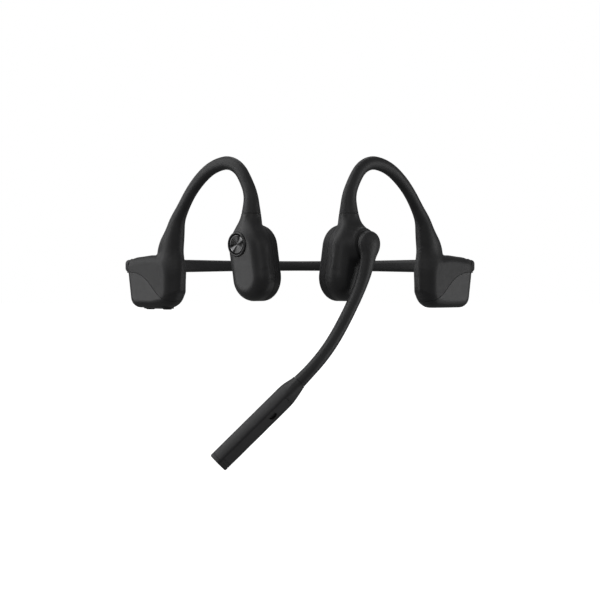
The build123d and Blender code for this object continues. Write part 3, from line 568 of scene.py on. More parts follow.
def pod_field(p):
    """Pod behind the ear."""
    flat = polygon_distance(p[:, [0, 2]], pod_outline)
    front = 1.0 - ramp(p[:, 0], *POD_EDGE_CHANGE)
    edge = POD_EDGE_REAR + (POD_EDGE_FRONT - POD_EDGE_REAR) * front
    return rounded(flat, np.abs(p[:, 1]) - POD_HALF, edge)


def band_root_field(p):
    """Start of the neckband, at the back of the pod."""
    b = p[:, 1] + np.maximum(p[:, 0] - BAND_LEAVE, 0.0) ** 2 / (2 * BAND_BEND_R)
    skin = rounded(np.abs(b) - BAND_HALF, np.abs(p[:, 2]) - BAND_ROOT_HALF, BAND_EDGE)
    return np.maximum(skin, np.maximum(BAND_ROOT_S[0] - p[:, 0], p[:, 0] - BAND_ROOT_S[1]))


def pill_field(p):
    """Transducer body."""
    low, high = np.array(PILL_LOW), np.array(PILL_HIGH)
    rel = p[:, [0, 2]] - low
    run = high - low
    t = np.clip((rel @ run) / (run @ run), 0.0, 1.0)
    flat = np.hypot(*(rel - t[:, None] * run).T) - PILL_R
    edge = PILL_SKIN_EDGE + (PILL_OUT_EDGE - PILL_SKIN_EDGE) * ramp(p[:, 1], *PILL_EDGE_CHANGE)
    return rounded(flat, np.abs(p[:, 1]) - PILL_HALF, edge)


def knob_radius(p):
    """Distance from the axis of the round controls."""
    return np.hypot(p[:, 0] - KNOB[0], p[:, 2] - KNOB[1])


def boss_field(p):
    """Swelling that carries the boom pivot."""
    ends = np.maximum(p[:, 1] - BOSS_TOP, BOSS_FOOT - p[:, 1])
    return rounded(knob_radius(p) - BOSS_R, ends, BOSS_EDGE)


def arm_field(p):
    """Whole outer skin of an ear arm."""
    hook = stem_field(p)
    pod = smooth_min(pod_field(p), band_root_field(p), BAND_FILLET)
    behind = ramp(p[:, 0], *HOOK_FILLET_CHANGE)
    rear = smooth_min(pod, hook, HOOK_FILLET[1] + (HOOK_FILLET[0] - HOOK_FILLET[1]) * (1.0 - behind))
    outside = ramp(p[:, 1], *PILL_CREASE_CHANGE)
    crease = PILL_CREASE[0] + (PILL_CREASE[1] - PILL_CREASE[0]) * outside
    return np.where(p[:, 0] < MIDDLE_S, smooth_min(pill_field(p), hook, crease), rear)


def boom_side_field(p):
    """Outer skin of the ear arm that carries the boom."""
    return smooth_min(arm_field(p), boss_field(p), BOSS_FILLET)


# ---------------------------------------------------------------- seams of an ear arm
seam_s = np.array([s for s, z in POD_SEAM[::-1]])
seam_z = np.array([z for s, z in POD_SEAM[::-1]])
seam_fine_s = np.linspace(seam_s[0], seam_s[-1], 300)
seam_fine_z = softened(np.interp(seam_fine_s, seam_s, seam_z), 15)
seam_tilt = 1.0 / np.hypot(1.0, np.gradient(seam_fine_z, seam_fine_s))


def above_seam(p):
    """Height over the pod's S-shaped seam, measured across it."""
    z = np.interp(p[:, 0], seam_fine_s, seam_fine_z)
    return (p[:, 2] - z) * np.interp(p[:, 0], seam_fine_s, seam_tilt)


def outer_half(p):
    """Positive on the transducer's outer shell, negative on its skin cover."""
    lobe = 0.5 * (pill_field(p) - stem_field(p))
    return np.maximum(p[:, 1] - PILL_SPLIT, np.where(p[:, 2] > 0, lobe, -FAR))


def keep_hook(p):
    """Soft overmould: hook, upper pod and band root."""
    front = np.where(p[:, 0] < NECK_REAR_S, p[:, 2] - NECK_SEAM_Z, FAR)
    rear = np.where(p[:, 0] > MIDDLE_S, above_seam(p), FAR)
    return np.minimum(np.minimum(front, rear), SLEEVE_SEAM_S - p[:, 0]) - SEAM_GAP


def keep_pod_cover(p):
    """Hard lower cover of the pod."""
    return np.minimum(-above_seam(p), p[:, 0] - MIDDLE_S) - SEAM_GAP


def keep_shell(p):
    """Outer shell of the transducer with its neck."""
    low = np.where(p[:, 0] < PILL_REAR_S, NECK_SEAM_Z - p[:, 2], -FAR)
    return np.minimum(low, outer_half(p)) - SEAM_GAP


def keep_skin_cover(p):
    """Skin-side cover of the transducer."""
    near = np.where(p[:, 0] < PILL_REAR_S, FAR, -FAR)
    return np.minimum(near, -outer_half(p)) - SEAM_GAP


def keep_shell_with_hole(radius):
    """Outer shell with a round hole on the controls' axis."""
    def keep(p):
        hole = np.where(p[:, 1] > HOLE_FOOT, knob_radius(p) - radius, FAR)
        return np.minimum(keep_shell(p), hole)

    return keep


def pad_slot(p):
    """Distance outside the opening for the control pad."""
    half = (PAD_LONG - PAD_WIDE) / 2
    along = np.maximum(np.abs(p[:, 0] - PAD_S) - half, 0.0)
    return np.where(p[:, 2] < PAD_SLOT_TOP, np.hypot(along, p[:, 1]) - PAD_WIDE / 2, FAR)


def keep_slotted_cover(p):
    """Pod cover with the opening for the control pad."""
    return np.minimum(keep_pod_cover(p), pad_slot(p) - PAD_SLOT_GAP)


# ---------------------------------------------------------------- boom
def arm_point(point):
    """One (s, b, z) point in the shared frame."""
    return ARM_ORIGIN + point[0] * E_S + point[1] * N_OUT + point[2] * UP


TIP_AXIS = unit(arm_point(BOOM_POINTS[-1]) - arm_point(BOOM_POINTS[-2]))
TIP = arm_point(BOOM_POINTS[-1]) + TIP_MORE * TIP_AXIS
TIP_OUT = unit(PANEL_LOOK - TIP_AXIS * (PANEL_LOOK @ TIP_AXIS))
TIP_SIDE = np.cross(TIP_OUT, TIP_AXIS)
boom_raw, _ = even(np.array([arm_point(point) for point in BOOM_POINTS]), 0.8)
boom_soft = np.stack([softened(boom_raw[:, i], 15) for i in range(3)], 1)
boom_soft[0], boom_soft[-1] = boom_raw[0], boom_raw[-1]
boom = Line(boom_soft, 0.7)
flare = boom.run[-1] - CAPSULE_START
boom_neck = [(flare - BOOM_NECK_LONG, BOOM_R), (flare, BOOM_NECK_R), (boom.run[-1], BOOM_NECK_R)]
boom_wide = boom.table([
    (0.0, ARM_HALF_WIDE), (4.5, ARM_HALF_WIDE), (10.0, 3.15), (16.0, 2.7), (21.0, BOOM_R),
] + boom_neck, 1, 5)
boom_thick = boom.table([(0.0, ARM_HALF_THICK), (3.5, 2.35), (7.5, BOOM_R)] + boom_neck, 1, 5)


def tip_frame(p):
    """Place in the capsule: across the panel, out of it, and back from the tip."""
    rel = p - TIP
    return rel @ TIP_SIDE, rel @ TIP_OUT, -(rel @ TIP_AXIS)


def section_table(column):
    """Half of one measure of the capsule, softened along it."""
    run = [row[0] for row in CAPSULE_SECTIONS]
    return softened(np.interp(capsule_run, run, [row[column] / 2 for row in CAPSULE_SECTIONS]), 7)


capsule_run = np.linspace(0.0, CAPSULE_SECTIONS[-1][0], 120)
capsule_wide = section_table(1)
capsule_thick = section_table(2)


def capsule_field(p):
    """Microphone capsule with its flare."""
    x, y, back = tip_frame(p)
    wide = np.interp(back, capsule_run, capsule_wide)
    thick = np.interp(back, capsule_run, capsule_thick)
    crisp = 1.0 - ramp(back, CAPSULE_CRISP_FROM, CAPSULE_START)
    outer = ramp(y, -CAPSULE_EDGE_HALF, CAPSULE_EDGE_HALF)
    edge = CAPSULE_EDGE + CAPSULE_EDGE_MORE * (1.0 - outer) * crisp - CAPSULE_EDGE_LESS * outer * crisp
    up = np.clip(y - CAPSULE_SLOPE_FROM, 0.0, CAPSULE_SLOPE_LONG) / CAPSULE_SLOPE_LONG
    slope = up ** 2 * ramp(wide, 2.9, 3.9)
    side = rounded(np.abs(x) - wide + slope, np.abs(y) - thick, edge)
    return rounded(side, -back, CAPSULE_END_EDGE)


def boom_field(p):
    """Hub, arm and capsule as one skin."""
    index, offset, along = boom.nearest(p)
    heading = boom.heading[index]
    across = unit(np.cross(heading, N_OUT))
    out = np.cross(across, heading)
    u = (offset * across).sum(1)
    w = (offset * out).sum(1)
    tube = ellipse(u, w, boom.read(boom_wide, index, along), boom.read(boom_thick, index, along))
    before = np.where(index == 0, np.maximum(-along, 0.0), 0.0) * ARM_HALF_THICK / ARM_DOME
    dome = np.hypot(tube + ARM_HALF_THICK, before) - ARM_HALF_THICK
    tube = np.where(before > 0, dome, tube)
    rod = np.where(tip_frame(p)[2] < CAPSULE_START, capsule_field(p), tube)
    rel = p - arm_point((KNOB[0], 0.0, KNOB[1]))
    b = rel @ N_OUT
    radius = np.linalg.norm(rel - b[:, None] * N_OUT, axis=1)
    edge = np.where(b > (HUB_TOP + HUB_BACK) / 2, HUB_EDGE, HUB_BACK_EDGE)
    hub = rounded(radius - HUB_R, np.maximum(b - HUB_TOP, HUB_BACK - b), edge)
    return smooth_min(rod, hub, HUB_FILLET)


def panel_outline(p, grow):
    """Distance inside the outline of the side panel, on the panel's face."""
    x, y, back = tip_frame(p)
    half_long, half_wide = PANEL_LONG / 2 + grow, PANEL_WIDE / 2 + grow
    flat = rounded(np.abs(back - PANEL_BACK) - half_long, np.abs(x) - half_wide, PANEL_CORNER)
    return np.where(y > 0, -flat, -FAR)


def port_outline(p):
    """Distance outside the oval port."""
    x, _, back = tip_frame(p)
    return ellipse(back - PORT_BACK, x, PORT_LONG / 2, PORT_WIDE / 2)


def keep_boom_skin(p):
    """Hub and arm."""
    return tip_frame(p)[2] - CAPSULE_START - SEAM_GAP


def keep_capsule(p):
    """Capsule shell between the arm and the end cap, with the panel's recess."""
    _, _, back = tip_frame(p)
    ends = np.minimum(CAPSULE_START - back, back - CAP_LONG) - SEAM_GAP
    return np.minimum(ends, -panel_outline(p, 0.05))


def keep_cap(p):
    """End cap."""
    return CAP_LONG - tip_frame(p)[2] - SEAM_GAP


# ---------------------------------------------------------------- turned and stacked pieces
def soft_profile(profile, radius, count=4):
    """Open profile with its inner corners rounded."""
    out = [np.array(profile[0], float)]
    for before, here, after in zip(profile, profile[1:], profile[2:]):
        here = np.array(here, float)
        into = here - before
        away = np.array(after, float) - here
        cut = min(radius, np.hypot(*into) * 0.45, np.hypot(*away) * 0.45)
        start, end = here - unit(into) * cut, here + unit(away) * cut
        for t in np.linspace(0.0, 1.0, count + 1):
            out.append((1 - t) ** 2 * start + 2 * t * (1 - t) * here + t * t * end)
    out.append(np.array(profile[-1], float))
    return np.array(out)


def ring_quads(low, high, count):
    """Quads between two rings of points, from the number each ring starts at."""
    here = np.arange(count)
    following = (here + 1) % count
    return np.stack([low + here, low + following, high + following, high + here], 1)


def turned(profile, side, count=96):
    """Body turned about the round controls' axis from (radius, b) points, closed at the axis."""
    angles = np.arange(count) * 2 * math.pi / count
    points = [
        np.stack([KNOB[0] + r * np.cos(angles), np.full(count, b), KNOB[1] + r * np.sin(angles)], 1)
        for r, b in profile
    ]
    faces = [ring_quads(i * count, (i + 1) * count, count) for i in range(len(profile) - 1)]
    return world(np.concatenate(points), side), faces


def closed_ring(profile, side, count=96):
    """Ring turned from a closed (radius, b) profile."""
    points, faces = turned(profile, side, count)
    faces.append(ring_quads((len(profile) - 1) * count, 0, count))
    return points, faces


def rounded_rect(long, wide, radius, count=7):
    """Outline of a rounded rectangle about the origin."""
    x, y = long / 2, wide / 2
    return round_corners([(-x, -y, radius), (x, -y, radius), (x, y, radius), (-x, y, radius)], count)


def capped_tube(rings, count):
    """Faces of a tube of point rings, capped at both ends."""
    faces = [ring_quads(i * count, (i + 1) * count, count) for i in range(rings - 1)]
    faces.append(np.arange(count)[::-1][None, :])
    faces.append(((rings - 1) * count + np.arange(count))[None, :])
    return faces


def stacked(outline, levels):
    """Closed body of one outline repeated at (height, inset) levels, capped at both ends."""
    middle = outline.mean(0)
    size = np.abs(outline - middle).max(0)
    rings = []
    for height, inset in levels:
        flat = middle + (outline - middle) * ((size - inset) / size)
        rings.append(np.column_stack([flat, np.full(len(outline), height)]))
    return np.concatenate(rings), capped_tube(len(levels), len(outline))


# ---------------------------------------------------------------- materials
def node_material(name):
    """New node material, its tree, its Principled shader and its object coordinates."""
    material = bpy.data.materials.new(name)
    material.use_nodes = True
    nodes = material.node_tree.nodes
    coords = nodes.new("ShaderNodeTexCoord")
    return material, material.node_tree, nodes["Principled BSDF"], coords.outputs["Object"]


def new_node(tree, kind, values=None, **settings):
    """Shader node with settings, and plain values in some of its inputs."""
    node = tree.nodes.new("ShaderNode" + kind)
    for key, value in settings.items():
        setattr(node, key, value)
    for key, value in (values or {}).items():
        node.inputs[key].default_value = value
    return node


def noise(tree, coords, scale, detail=3.0, rough=0.55):
    """Noise texture value."""
    node = new_node(tree, "TexNoise", {"Scale": scale, "Detail": detail, "Roughness": rough})
    tree.links.new(coords, node.inputs["Vector"])
    return node.outputs["Fac"]


def spread(tree, value, low, high, from_low=0.3, from_high=0.7):
    """Value mapped to a range."""
    node = new_node(tree, "MapRange", {"From Min": from_low, "From Max": from_high,
                                       "To Min": low, "To Max": high})
    tree.links.new(value, node.inputs["Value"])
    return node.outputs["Result"]


def blended(tree, factor, one, two):
    """Colour between two constants or sockets."""
    node = new_node(tree, "Mix", data_type="RGBA")
    tree.links.new(factor, node.inputs["Factor"])
    for key, value in (("A", one), ("B", two)):
        socket = [s for s in node.inputs if s.name == key and s.type == "RGBA"][0]
        if isinstance(value, tuple):
            socket.default_value = (*value, 1.0)
        else:
            tree.links.new(value, socket)
    return [s for s in node.outputs if s.type == "RGBA"][0]


def bumped(tree, shader, height, microns):
    """Bump of a real height."""
    node = new_node(tree, "Bump", {"Distance": microns * MM / 1000})
    tree.links.new(height, node.inputs["Height"])
    tree.links.new(node.outputs["Normal"], shader.inputs["Normal"])


def finished(tree, shader, tone, gloss, values):
    """Shader given its colour and roughness by nodes, and its other values as plain numbers."""
    tree.links.new(tone, shader.inputs["Base Color"])
    tree.links.new(gloss, shader.inputs["Roughness"])
    for key, value in values.items():
        shader.inputs[key].default_value = value


def moulded(name, dark, pale, rough, grain, microns, specular=0.5, wear=0.25, metallic=0.0):
    """Moulded plastic or silicone: cloudy tone, fine grain, uneven gloss and paler worn edges."""
    material, tree, shader, coords = node_material(name)
    cloud = spread(tree, noise(tree, coords, 160.0, 4.0), 0.0, 1.0)
    edge = new_node(tree, "NewGeometry").outputs["Pointiness"]
    worn = spread(tree, edge, 0.0, wear, 0.60, 0.75)
    rub = tuple(min(1.0, c * 2.2 + 0.01) for c in pale)
    tone = blended(tree, worn, blended(tree, cloud, dark, pale), rub)
    gloss = spread(tree, noise(tree, coords, 420.0, 3.0), rough - 0.02, rough + 0.02)
    finished(tree, shader, tone, gloss, {"Specular IOR Level": specular, "Metallic": metallic})
    bumped(tree, shader, noise(tree, coords, grain, 2.0, 0.6), microns)
    return material


def vector_math(tree, operation, socket, constant=None, slot=1):
    """Vector maths node on one socket, with a constant in the given slot."""
    values = {} if constant is None else {slot: constant}
    node = new_node(tree, "VectorMath", values, operation=operation)
    tree.links.new(socket, node.inputs[1 - slot])
    return node


def number_math(tree, operation, *terms):
    """Maths node on sockets and plain numbers."""
    node = new_node(tree, "Math", operation=operation)
    for slot, term in enumerate(terms):
        if isinstance(term, float):
            node.inputs[slot].default_value = term
        else:
            tree.links.new(term, node.inputs[slot])
    return node.outputs[0]


# the button disc's tone carries wedges of painted highlight and painted shade, set by the angle round its
# axis
PAINTED_WEDGE_TILT = math.radians(39.0)
# share of a half turn from the middle of the painted highlight wedge, and the grey painted there; the
# darkest stops are painted shade
PAINTED_WEDGE_STOPS = [(0.05, 0.25), (0.11, 0.008), (0.17, 0.008), (0.25, 0.10)]
PAINTED_HIGHLIGHT_GREY = (0.40, 0.40, 0.405, 1.0)


def spun_metal_painted_wedges(name):
    """Disc of dark metal with fine rings, its tone painted with bright and dark wedges that stand in for
    highlight and shade.
    """
    material, tree, shader, coords = node_material(name)
    centre = world(np.array([[KNOB[0], 0.0, KNOB[1]]]), RIGHT)[0] * MM
    axis = N_OUT * np.array([-1.0, 1.0, 1.0])
    shift = vector_math(tree, "SUBTRACT", coords, centre).outputs[0]
    cross = vector_math(tree, "CROSS_PRODUCT", shift, axis, 0).outputs[0]
    length = vector_math(tree, "LENGTH", cross).outputs["Value"]
    fine = new_node(tree, "TexNoise", {"Scale": 9000.0, "Detail": 2.0}, noise_dimensions="1D")
    tree.links.new(length, fine.inputs["W"])
    rings = fine.outputs["Fac"]
    level = np.cross(UP, axis)
    level = unit(level * np.sign(level[0]))
    cos, sin = math.cos(PAINTED_WEDGE_TILT), math.sin(PAINTED_WEDGE_TILT)
    along = vector_math(tree, "DOT_PRODUCT", shift, cos * level + sin * UP).outputs["Value"]
    beside = vector_math(tree, "DOT_PRODUCT", shift, cos * UP - sin * level).outputs["Value"]
    angle = number_math(tree, "ARCTAN2", beside, along)
    share = number_math(tree, "FRACT", number_math(tree, "DIVIDE", angle, math.pi))
    # painted highlight and painted shade wedges, read from the angle round the disc's axis
    painted_wedges = new_node(tree, "ValToRGB")
    stops = painted_wedges.color_ramp.elements
    stops[0].color = PAINTED_HIGHLIGHT_GREY
    stops[1].color = PAINTED_HIGHLIGHT_GREY
    for place, grey in PAINTED_WEDGE_STOPS + [(1.0 - place, grey) for place, grey in PAINTED_WEDGE_STOPS[::-1]]:
        stops.new(place).color = (grey, grey, grey * 1.01, 1.0)
    tree.links.new(share, painted_wedges.inputs["Fac"])
    tone = blended(tree, spread(tree, rings, 0.0, 0.12), painted_wedges.outputs["Color"], (0.09, 0.09, 0.092))
    tree.links.new(cross, shader.inputs["Tangent"])
    finished(tree, shader, tone, spread(tree, rings, 0.24, 0.32), {"Metallic": 1.0, "Anisotropic": 1.0})
    bumped(tree, shader, rings, 0.8)
    return material


def woven_mesh(name):
    """Fine metal mesh: round holes in a grid."""
    material, tree, shader, coords = node_material(name)
    cells = new_node(tree, "TexVoronoi", {"Scale": 2600.0, "Randomness": 0.15})
    tree.links.new(coords, cells.inputs["Vector"])
    hole = spread(tree, cells.outputs["Distance"], 1.0, 0.0, 0.22, 0.34)
    tone = blended(tree, hole, (0.05, 0.05, 0.05), (0.004, 0.004, 0.004))
    finished(tree, shader, tone, spread(tree, hole, 0.35, 0.8, 0.0, 1.0), {"Metallic": 0.6})
    bumped(tree, shader, cells.outputs["Distance"], 50.0)
    return material


def metal(name, colour, rough, streak=300.0):
    """Bright or plated metal with drawn streaks and a little tarnish."""
    material, tree, shader, coords = node_material(name)
    dim = tuple(c * 0.7 for c in colour)
    tone = blended(tree, spread(tree, noise(tree, coords, streak, 4.0), 0.0, 1.0), dim, colour)
    fine = noise(tree, coords, 5000.0, 2.0)
    finished(tree, shader, tone, spread(tree, fine, rough - 0.06, rough + 0.08), {"Metallic": 1.0})
    bumped(tree, shader, fine, 3.0)
    return material


def circuit(name):
    """Circuit board: green solder mask over faint tracks."""
    material, tree, shader, coords = node_material(name)
    tracks = new_node(tree, "TexVoronoi", {"Scale": 700.0}, distance="MANHATTAN",
                      feature="DISTANCE_TO_EDGE")
    tree.links.new(coords, tracks.inputs["Vector"])
    line = spread(tree, tracks.outputs["Distance"], 1.0, 0.0, 0.03, 0.07)
    tone = blended(tree, line, (0.004, 0.035, 0.016), (0.02, 0.11, 0.045))
    finished(tree, shader, tone, spread(tree, noise(tree, coords, 900.0), 0.28, 0.4), {})
    bumped(tree, shader, line, 20.0)
    return material


def clear_plastic(name):
    """Clear light pipe with a milky core."""
    material, tree, shader, coords = node_material(name)
    cloud = spread(tree, noise(tree, coords, 900.0), 0.0, 1.0)
    tone = blended(tree, cloud, (0.75, 0.78, 0.8), (0.9, 0.92, 0.93))
    gloss = spread(tree, noise(tree, coords, 3000.0), 0.1, 0.2)
    finished(tree, shader, tone, gloss, {"Transmission Weight": 0.6, "IOR": 1.49})
    return material


def charcoal(value):
    """Very dark grey, a touch blue."""
    return (value, value, value + 0.0012)


SLOTS = {
    "button_metal": spun_metal_painted_wedges("button_metal"),
    "mesh_metal": woven_mesh("mesh_metal"),
    "board": circuit("board"),
    "light_clear": clear_plastic("light_clear"),
    "copper": metal("copper", (0.85, 0.42, 0.22), 0.3, 900.0),
    "cable_skin": moulded("cable_skin", (0.03, 0.03, 0.032), (0.045, 0.045, 0.047), 0.5, 3000.0, 10.0),
    "chip": moulded("chip", (0.012, 0.012, 0.013), (0.02, 0.02, 0.021), 0.4, 5000.0, 6.0),
    "bushing_plastic": moulded("bushing_plastic", (0.5, 0.49, 0.46), (0.6, 0.59, 0.56), 0.4, 3000.0, 10.0),
    "cell_wrap": moulded("cell_wrap", (0.42, 0.43, 0.45), (0.5, 0.51, 0.53), 0.3, 1200.0, 20.0,
                         0.5, 0.2, 0.8),
}
# darkest and palest grey, roughness, grain scale, grain height in microns, specular level, wear
for slot, dark, pale, *finish in (
    ("soft_skin", 0.0204, 0.0288, 0.50, 4200.0, 3.0, 0.42, 0.04),
    ("hard_cover", 0.0192, 0.0252, 0.42, 5200.0, 2.5, 0.45, 0.05),
    ("skin_pad", 0.0192, 0.0264, 0.55, 3800.0, 3.5, 0.40, 0.04),
    ("ring_plastic", 0.0144, 0.0216, 0.32, 6000.0, 5.0, 0.50, 0.30),
    ("boom_skin", 0.0204, 0.0276, 0.48, 4200.0, 3.0, 0.42, 0.04),
    ("capsule_plastic", 0.0216, 0.0300, 0.46, 5200.0, 3.0, 0.45, 0.06),
    ("pad_rubber", 0.0168, 0.0240, 0.60, 3800.0, 4.0, 0.40, 0.15),
):
    SLOTS[slot] = moulded(slot, charcoal(dark), charcoal(pale), *finish)
for slot, colour, rough in (
    ("spring_wire", (0.55, 0.54, 0.52), 0.32), ("can_metal", (0.7, 0.7, 0.69), 0.34),
    ("magnet_plate", (0.62, 0.62, 0.63), 0.22), ("yoke_steel", (0.4, 0.4, 0.41), 0.35),
    ("pivot_steel", (0.5, 0.5, 0.5), 0.28), ("pin_gold", (0.9, 0.65, 0.3), 0.2),
):
    SLOTS[slot] = metal(slot, colour, rough)

# each CAD node comes with a plain material named after its slot
for node in frame["nodes"].values():
    slot = node.data.materials[0].name.split(".")[0]
    node.data.materials.clear()
    node.data.materials.append(SLOTS[slot])

# ---------------------------------------------------------------- ear arms
# (s, b, z) boxes round a whole arm, and round the transducer that carries the boom
plain_net = surface(arm_field, (-12.5, -8.0, -19.5), (78.0, 9.5, 46.0))
boss_net = surface(boom_side_field, (-12.5, -8.0, -17.0), (14.0, 9.5, 24.0))

for side, label in ((LEFT, "left"), (RIGHT, "right")):
    add_shell(f"{label}_hook_skin", arm_field, plain_net, keep_hook, side, "soft_skin",
              [f"{label}_ear_hook"])
    add_shell(f"{label}_skin_cover", arm_field, plain_net, keep_skin_cover, side, "skin_pad",
              [f"{label}_transducer_cover"])
for name, field, net, keep, side, replaced in (
    ("left_pod_shell", arm_field, plain_net, keep_pod_cover, LEFT, "left_pod_cover"),
    ("right_pod_shell", arm_field, plain_net, keep_slotted_cover, RIGHT, "right_pod_cover"),
    ("left_drive_shell", boom_side_field, boss_net, keep_shell_with_hole(BUSHING_R), LEFT,
     "left_transducer_shell"),
    ("right_drive_shell", arm_field, plain_net, keep_shell_with_hole(RING_R), RIGHT,
     "right_transducer_shell"),
):
    add_shell(name, field, net, keep, side, "hard_cover", [replaced])

# ---------------------------------------------------------------- neckband sleeve
leave = arm_point((BAND_LEAVE, 0.0, 0.0))
side_x = leave[0] + BAND_BEND_R * (1 - math.sin(ARM_ANGLE))
side_y = leave[1] + BAND_BEND_R * math.cos(ARM_ANGLE)
drop = BAND_BACK_Y - side_y
inset_x = side_x - BAND_SIDE_R
back_r = (inset_x ** 2 + drop ** 2 - BAND_SIDE_R ** 2) / (2 * (drop - BAND_SIDE_R))
lean = BAND_SIDE_R / (back_r - BAND_SIDE_R)
join = (inset_x + inset_x * lean, side_y + (side_y - (BAND_BACK_Y - back_r)) * lean)
half_band = tangent_chain([leave[:2], (side_x, side_y), join, (0.0, BAND_BACK_Y)], E_S[:2], 0.3)
half_band = half_band[np.linalg.norm(half_band - leave[:2], axis=1) > SLEEVE_SEAM_S - BAND_LEAVE + 0.05]
whole_band = np.concatenate([half_band, half_band[-2::-1] * [-1.0, 1.0]])
band_path, _ = even(whole_band, BAND_STEP)
band_heading = unit(np.gradient(band_path, axis=0))
band_side = np.stack([band_heading[:, 1], -band_heading[:, 0]], 1)
band_half_high = softened(np.interp(np.abs(band_path[:, 0]), [x for x, h in BAND_HEIGHTS],
                                    [h / 2 for x, h in BAND_HEIGHTS]), 9)
rings = []
for number, (spot, out, high) in enumerate(zip(band_path, band_side, band_half_high)):
    shrink = SEAM_BEVEL if number in (0, len(band_path) - 1) else 0.0
    flat = rounded_rect(2 * (BAND_HALF - shrink), 2 * (high - shrink), BAND_EDGE - shrink / 2, 6)
    rings.append(np.column_stack([spot + flat[:, 0:1] * out, flat[:, 1]]))
add_mesh("band_sleeve", np.concatenate(rings), capped_tube(len(rings), len(rings[0])), "soft_skin",
         "headset", ["neckband_sleeve"])

# ---------------------------------------------------------------- round controls
# profiles are (radius, b) points about the controls' axis
ring_profile = soft_profile([
    (3.98, 5.05), (3.98, 6.45), (4.28, 6.95), (4.62, 6.95), (4.98, 6.6), (4.98, 5.05),
], 0.16)
ring_points, ring_faces = closed_ring(ring_profile, RIGHT)
add_mesh("button_ring", ring_points, ring_faces, "ring_plastic", "headset",
         ["multifunction_ring"], flip=True)
disc_profile = soft_profile([
    (0.001, 6.1), (3.1, 6.7), (3.3, 6.75), (3.6, 6.75), (3.84, 6.55), (3.84, 5.76),
    (1.2, 5.76), (1.2, 3.76), (0.001, 3.76),
], 0.12)
disc_points, disc_faces = turned(disc_profile, RIGHT)
add_mesh("button_disc", disc_points, disc_faces, "button_metal", "multifunction_key",
         ["multifunction_button"])
seat_profile = soft_profile([
    (2.62, 7.92), (2.62, 8.38), (5.3, 8.38), (5.58, 8.2), (5.58, 7.92),
], 0.1)
seat_points, seat_faces = closed_ring(seat_profile, LEFT)
add_mesh("pivot_seat", seat_points, seat_faces, "ring_plastic", "headset", ["boom_seat_ring"])

# ---------------------------------------------------------------- boom
BOOM_MARGIN = 9.0
boom_ends = np.array([arm_point(point) for point in BOOM_POINTS])
boom_net = surface(boom_field, boom_ends.min(0) - BOOM_MARGIN, boom_ends.max(0) + BOOM_MARGIN)
for name, keep, slot, replaced in (
    ("boom_skin", keep_boom_skin, "boom_skin", ["boom_hub", "boom_arm"]),
    ("capsule_shell", keep_capsule, "capsule_plastic", ["microphone_shell"]),
    ("capsule_cap", keep_cap, "capsule_plastic", ["microphone_end_cap"]),
):
    points, normals, faces = shell(boom_field, *boom_net, keep, bevel=BOOM_BEVEL)
    add_mesh(name, points, faces, slot, "boom", replaced, normals)


# side panel: a flat plate in its recess, with the oval port through it
PANEL_FACE = CAPSULE_SECTIONS[0][2] / 2 - PANEL_INSET


def panel_field(p):
    """Face of the side panel, a little under the capsule's face."""
    return tip_frame(p)[1] - PANEL_FACE


def keep_panel(p):
    """Inside the panel's outline and outside the port."""
    return np.minimum(panel_outline(p, -0.02), port_outline(p))


def flat_net(long, wide, spacing):
    """Grid of quads lying in the panel's plane."""
    rows = np.arange(PANEL_BACK - long / 2, PANEL_BACK + long / 2, spacing)
    columns = np.arange(-wide / 2, wide / 2 + spacing, spacing)
    back, x = np.meshgrid(rows, columns, indexing="ij")
    points = TIP - back.reshape(-1, 1) * TIP_AXIS + x.reshape(-1, 1) * TIP_SIDE + PANEL_FACE * TIP_OUT
    number = np.arange(back.size).reshape(back.shape)
    quads = np.stack([number[:-1, :-1], number[1:, :-1], number[1:, 1:], number[:-1, 1:]], -1)
    return points, quads.reshape(-1, 4)


panel_net = flat_net(PANEL_LONG + 2.0, PANEL_WIDE + 1.4, PANEL_STEP)
points, normals, faces = shell(panel_field, *panel_net, keep_panel, PANEL_WALL, PANEL_BEVEL)
first = np.asarray(faces[0][0])
turn = np.cross(points[first[1]] - points[first[0]], points[first[2]] - points[first[0]]) @ TIP_OUT
add_mesh("capsule_panel", points, faces, "capsule_plastic", "boom", ["microphone_panel"],
         normals, flip=turn < 0)


# ---------------------------------------------------------------- control pad
def under_pod(name, s, outline, levels, body, replaces):
    """Rubber moulding on the underside of the right pod, from (height, inset) levels."""
    points, faces = stacked(outline, levels)
    add_mesh(name, world(points + (s, 0.0, 0.0), RIGHT), faces, "pad_rubber", body, replaces)


pad_outline = rounded_rect(PAD_LONG - PAD_GAP, PAD_WIDE - PAD_GAP, PAD_WIDE / 2 - PAD_GAP, 9)
under_pod("pad_skin", PAD_S, pad_outline,
          [(-17.7, 0.2), (-17.64, 0.06), (-17.5, 0.0), (-15.62, 0.0)], "headset", ["control_pad"])
volume_outline = rounded_rect(VOLUME_LONG, VOLUME_WIDE, VOLUME_WIDE / 2 - 0.05, 9)
for s, label in zip(VOLUME_S, ("up", "down")):
    under_pod(f"volume_{label}_cap", s, volume_outline,
              [(-18.05, 0.25), (-18.0, 0.08), (-17.9, 0.0), (-15.0, 0.0)],
              f"volume_{label}_key", [f"volume_{label}_button"])

# ---------------------------------------------------------------- stage, light and camera
# lengths are in metres from here on
FLOOR_Z = -0.22
FLOOR_HALF = 12.0


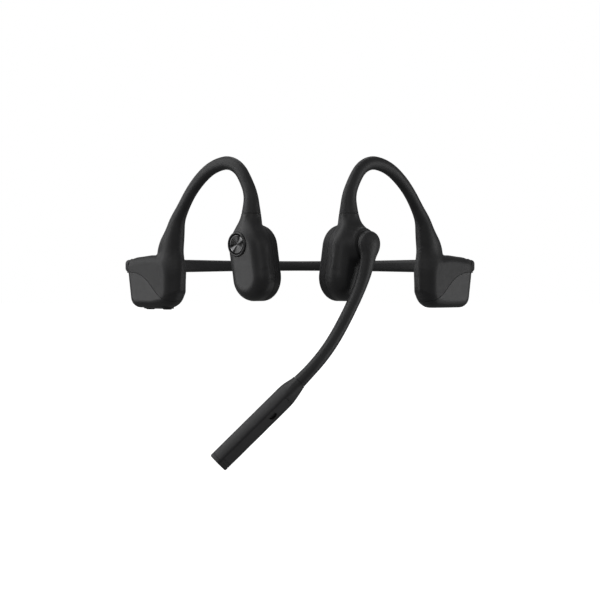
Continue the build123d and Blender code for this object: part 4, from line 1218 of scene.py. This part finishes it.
def stage_floor():
    """Plain pale floor well under the headset."""
    material, tree, shader, coords = node_material("floor_white")
    cloud = spread(tree, noise(tree, coords, 3.0), 0.0, 1.0)
    tree.links.new(blended(tree, cloud, (0.96, 0.96, 0.96), (0.98, 0.98, 0.98)), shader.inputs["Base Color"])
    shader.inputs["Roughness"].default_value = 0.9
    shader.inputs["Emission Color"].default_value = (1.0, 1.0, 1.0, 1.0)
    shader.inputs["Emission Strength"].default_value = 1.0
    mesh = bpy.data.meshes.new("floor")
    corners = [(x * FLOOR_HALF, y * FLOOR_HALF, FLOOR_Z) for x, y in ((-1, -1), (1, -1), (1, 1), (-1, 1))]
    mesh.from_pydata(corners, [], [(0, 1, 2, 3)])
    mesh.materials.append(material)
    floor = linked("floor", mesh)
    floor.visible_glossy = False
    floor.visible_diffuse = False


LIGHT_DISTANCE = 1.25
LIGHT_SIZE = 0.65
ROOM_LIGHT = 0.17          # strength of the pale surroundings on the object
CAMERA_DISTANCE = 0.9
CAMERA_SHIFT = -0.0567
# name, degrees round from the camera towards +X, degrees up, watts
SOFTBOXES = [
    ("left_low", -90, 0, 3.0), ("left_middle", -90, 30, 3.0), ("left_high", -90, 60, 2.5),
    ("left_back", -130, 20, 1.0), ("left_front", -50, 45, 1.0), ("right_low", 90, 0, 3.0),
    ("right_under", 90, -30, 1.0), ("right_front", 50, 30, 0.5), ("front", 0, 20, 1.0),
    ("top_back", 180, 60, 2.0),
]


def softbox(name, azimuth, elevation, power):
    """Soft area light that looks at the middle of the scene."""
    turn, lift = math.radians(azimuth), math.radians(elevation)
    place = LIGHT_DISTANCE * Vector((
        math.sin(turn) * math.cos(lift), -math.cos(turn) * math.cos(lift), math.sin(lift),
    ))
    light = bpy.data.lights.new(name, "AREA")
    light.size = LIGHT_SIZE
    light.energy = power
    lamp = linked(name, light)
    lamp.location = place
    lamp.rotation_euler = (-place).to_track_quat("-Z", "Y").to_euler()
    lamp.visible_camera = False


stage_floor()
for row in SOFTBOXES:
    softbox(*row)

scene_world = bpy.data.worlds.new("studio")
bpy.context.scene.world = scene_world
scene_world.use_nodes = True
world_tree = scene_world.node_tree
background = world_tree.nodes["Background"]
background.inputs["Color"].default_value = (1.0, 1.0, 1.0, 1.0)
ray = new_node(world_tree, "LightPath")
level = new_node(world_tree, "MapRange", {"To Min": ROOM_LIGHT, "To Max": 1.0})
world_tree.links.new(ray.outputs["Is Camera Ray"], level.inputs["Value"])
world_tree.links.new(level.outputs["Result"], background.inputs["Strength"])

camera_data = bpy.data.cameras.new("camera")
camera_data.lens = 135.0
camera_data.sensor_width = 36.0
camera_data.shift_y = CAMERA_SHIFT
camera = linked("camera", camera_data)
camera.location = (0.0, -CAMERA_DISTANCE, 0.0)
camera.rotation_euler = (math.pi / 2, 0.0, 0.0)
bpy.context.scene.camera = camera
bpy.context.scene.view_settings.view_transform = "Standard"
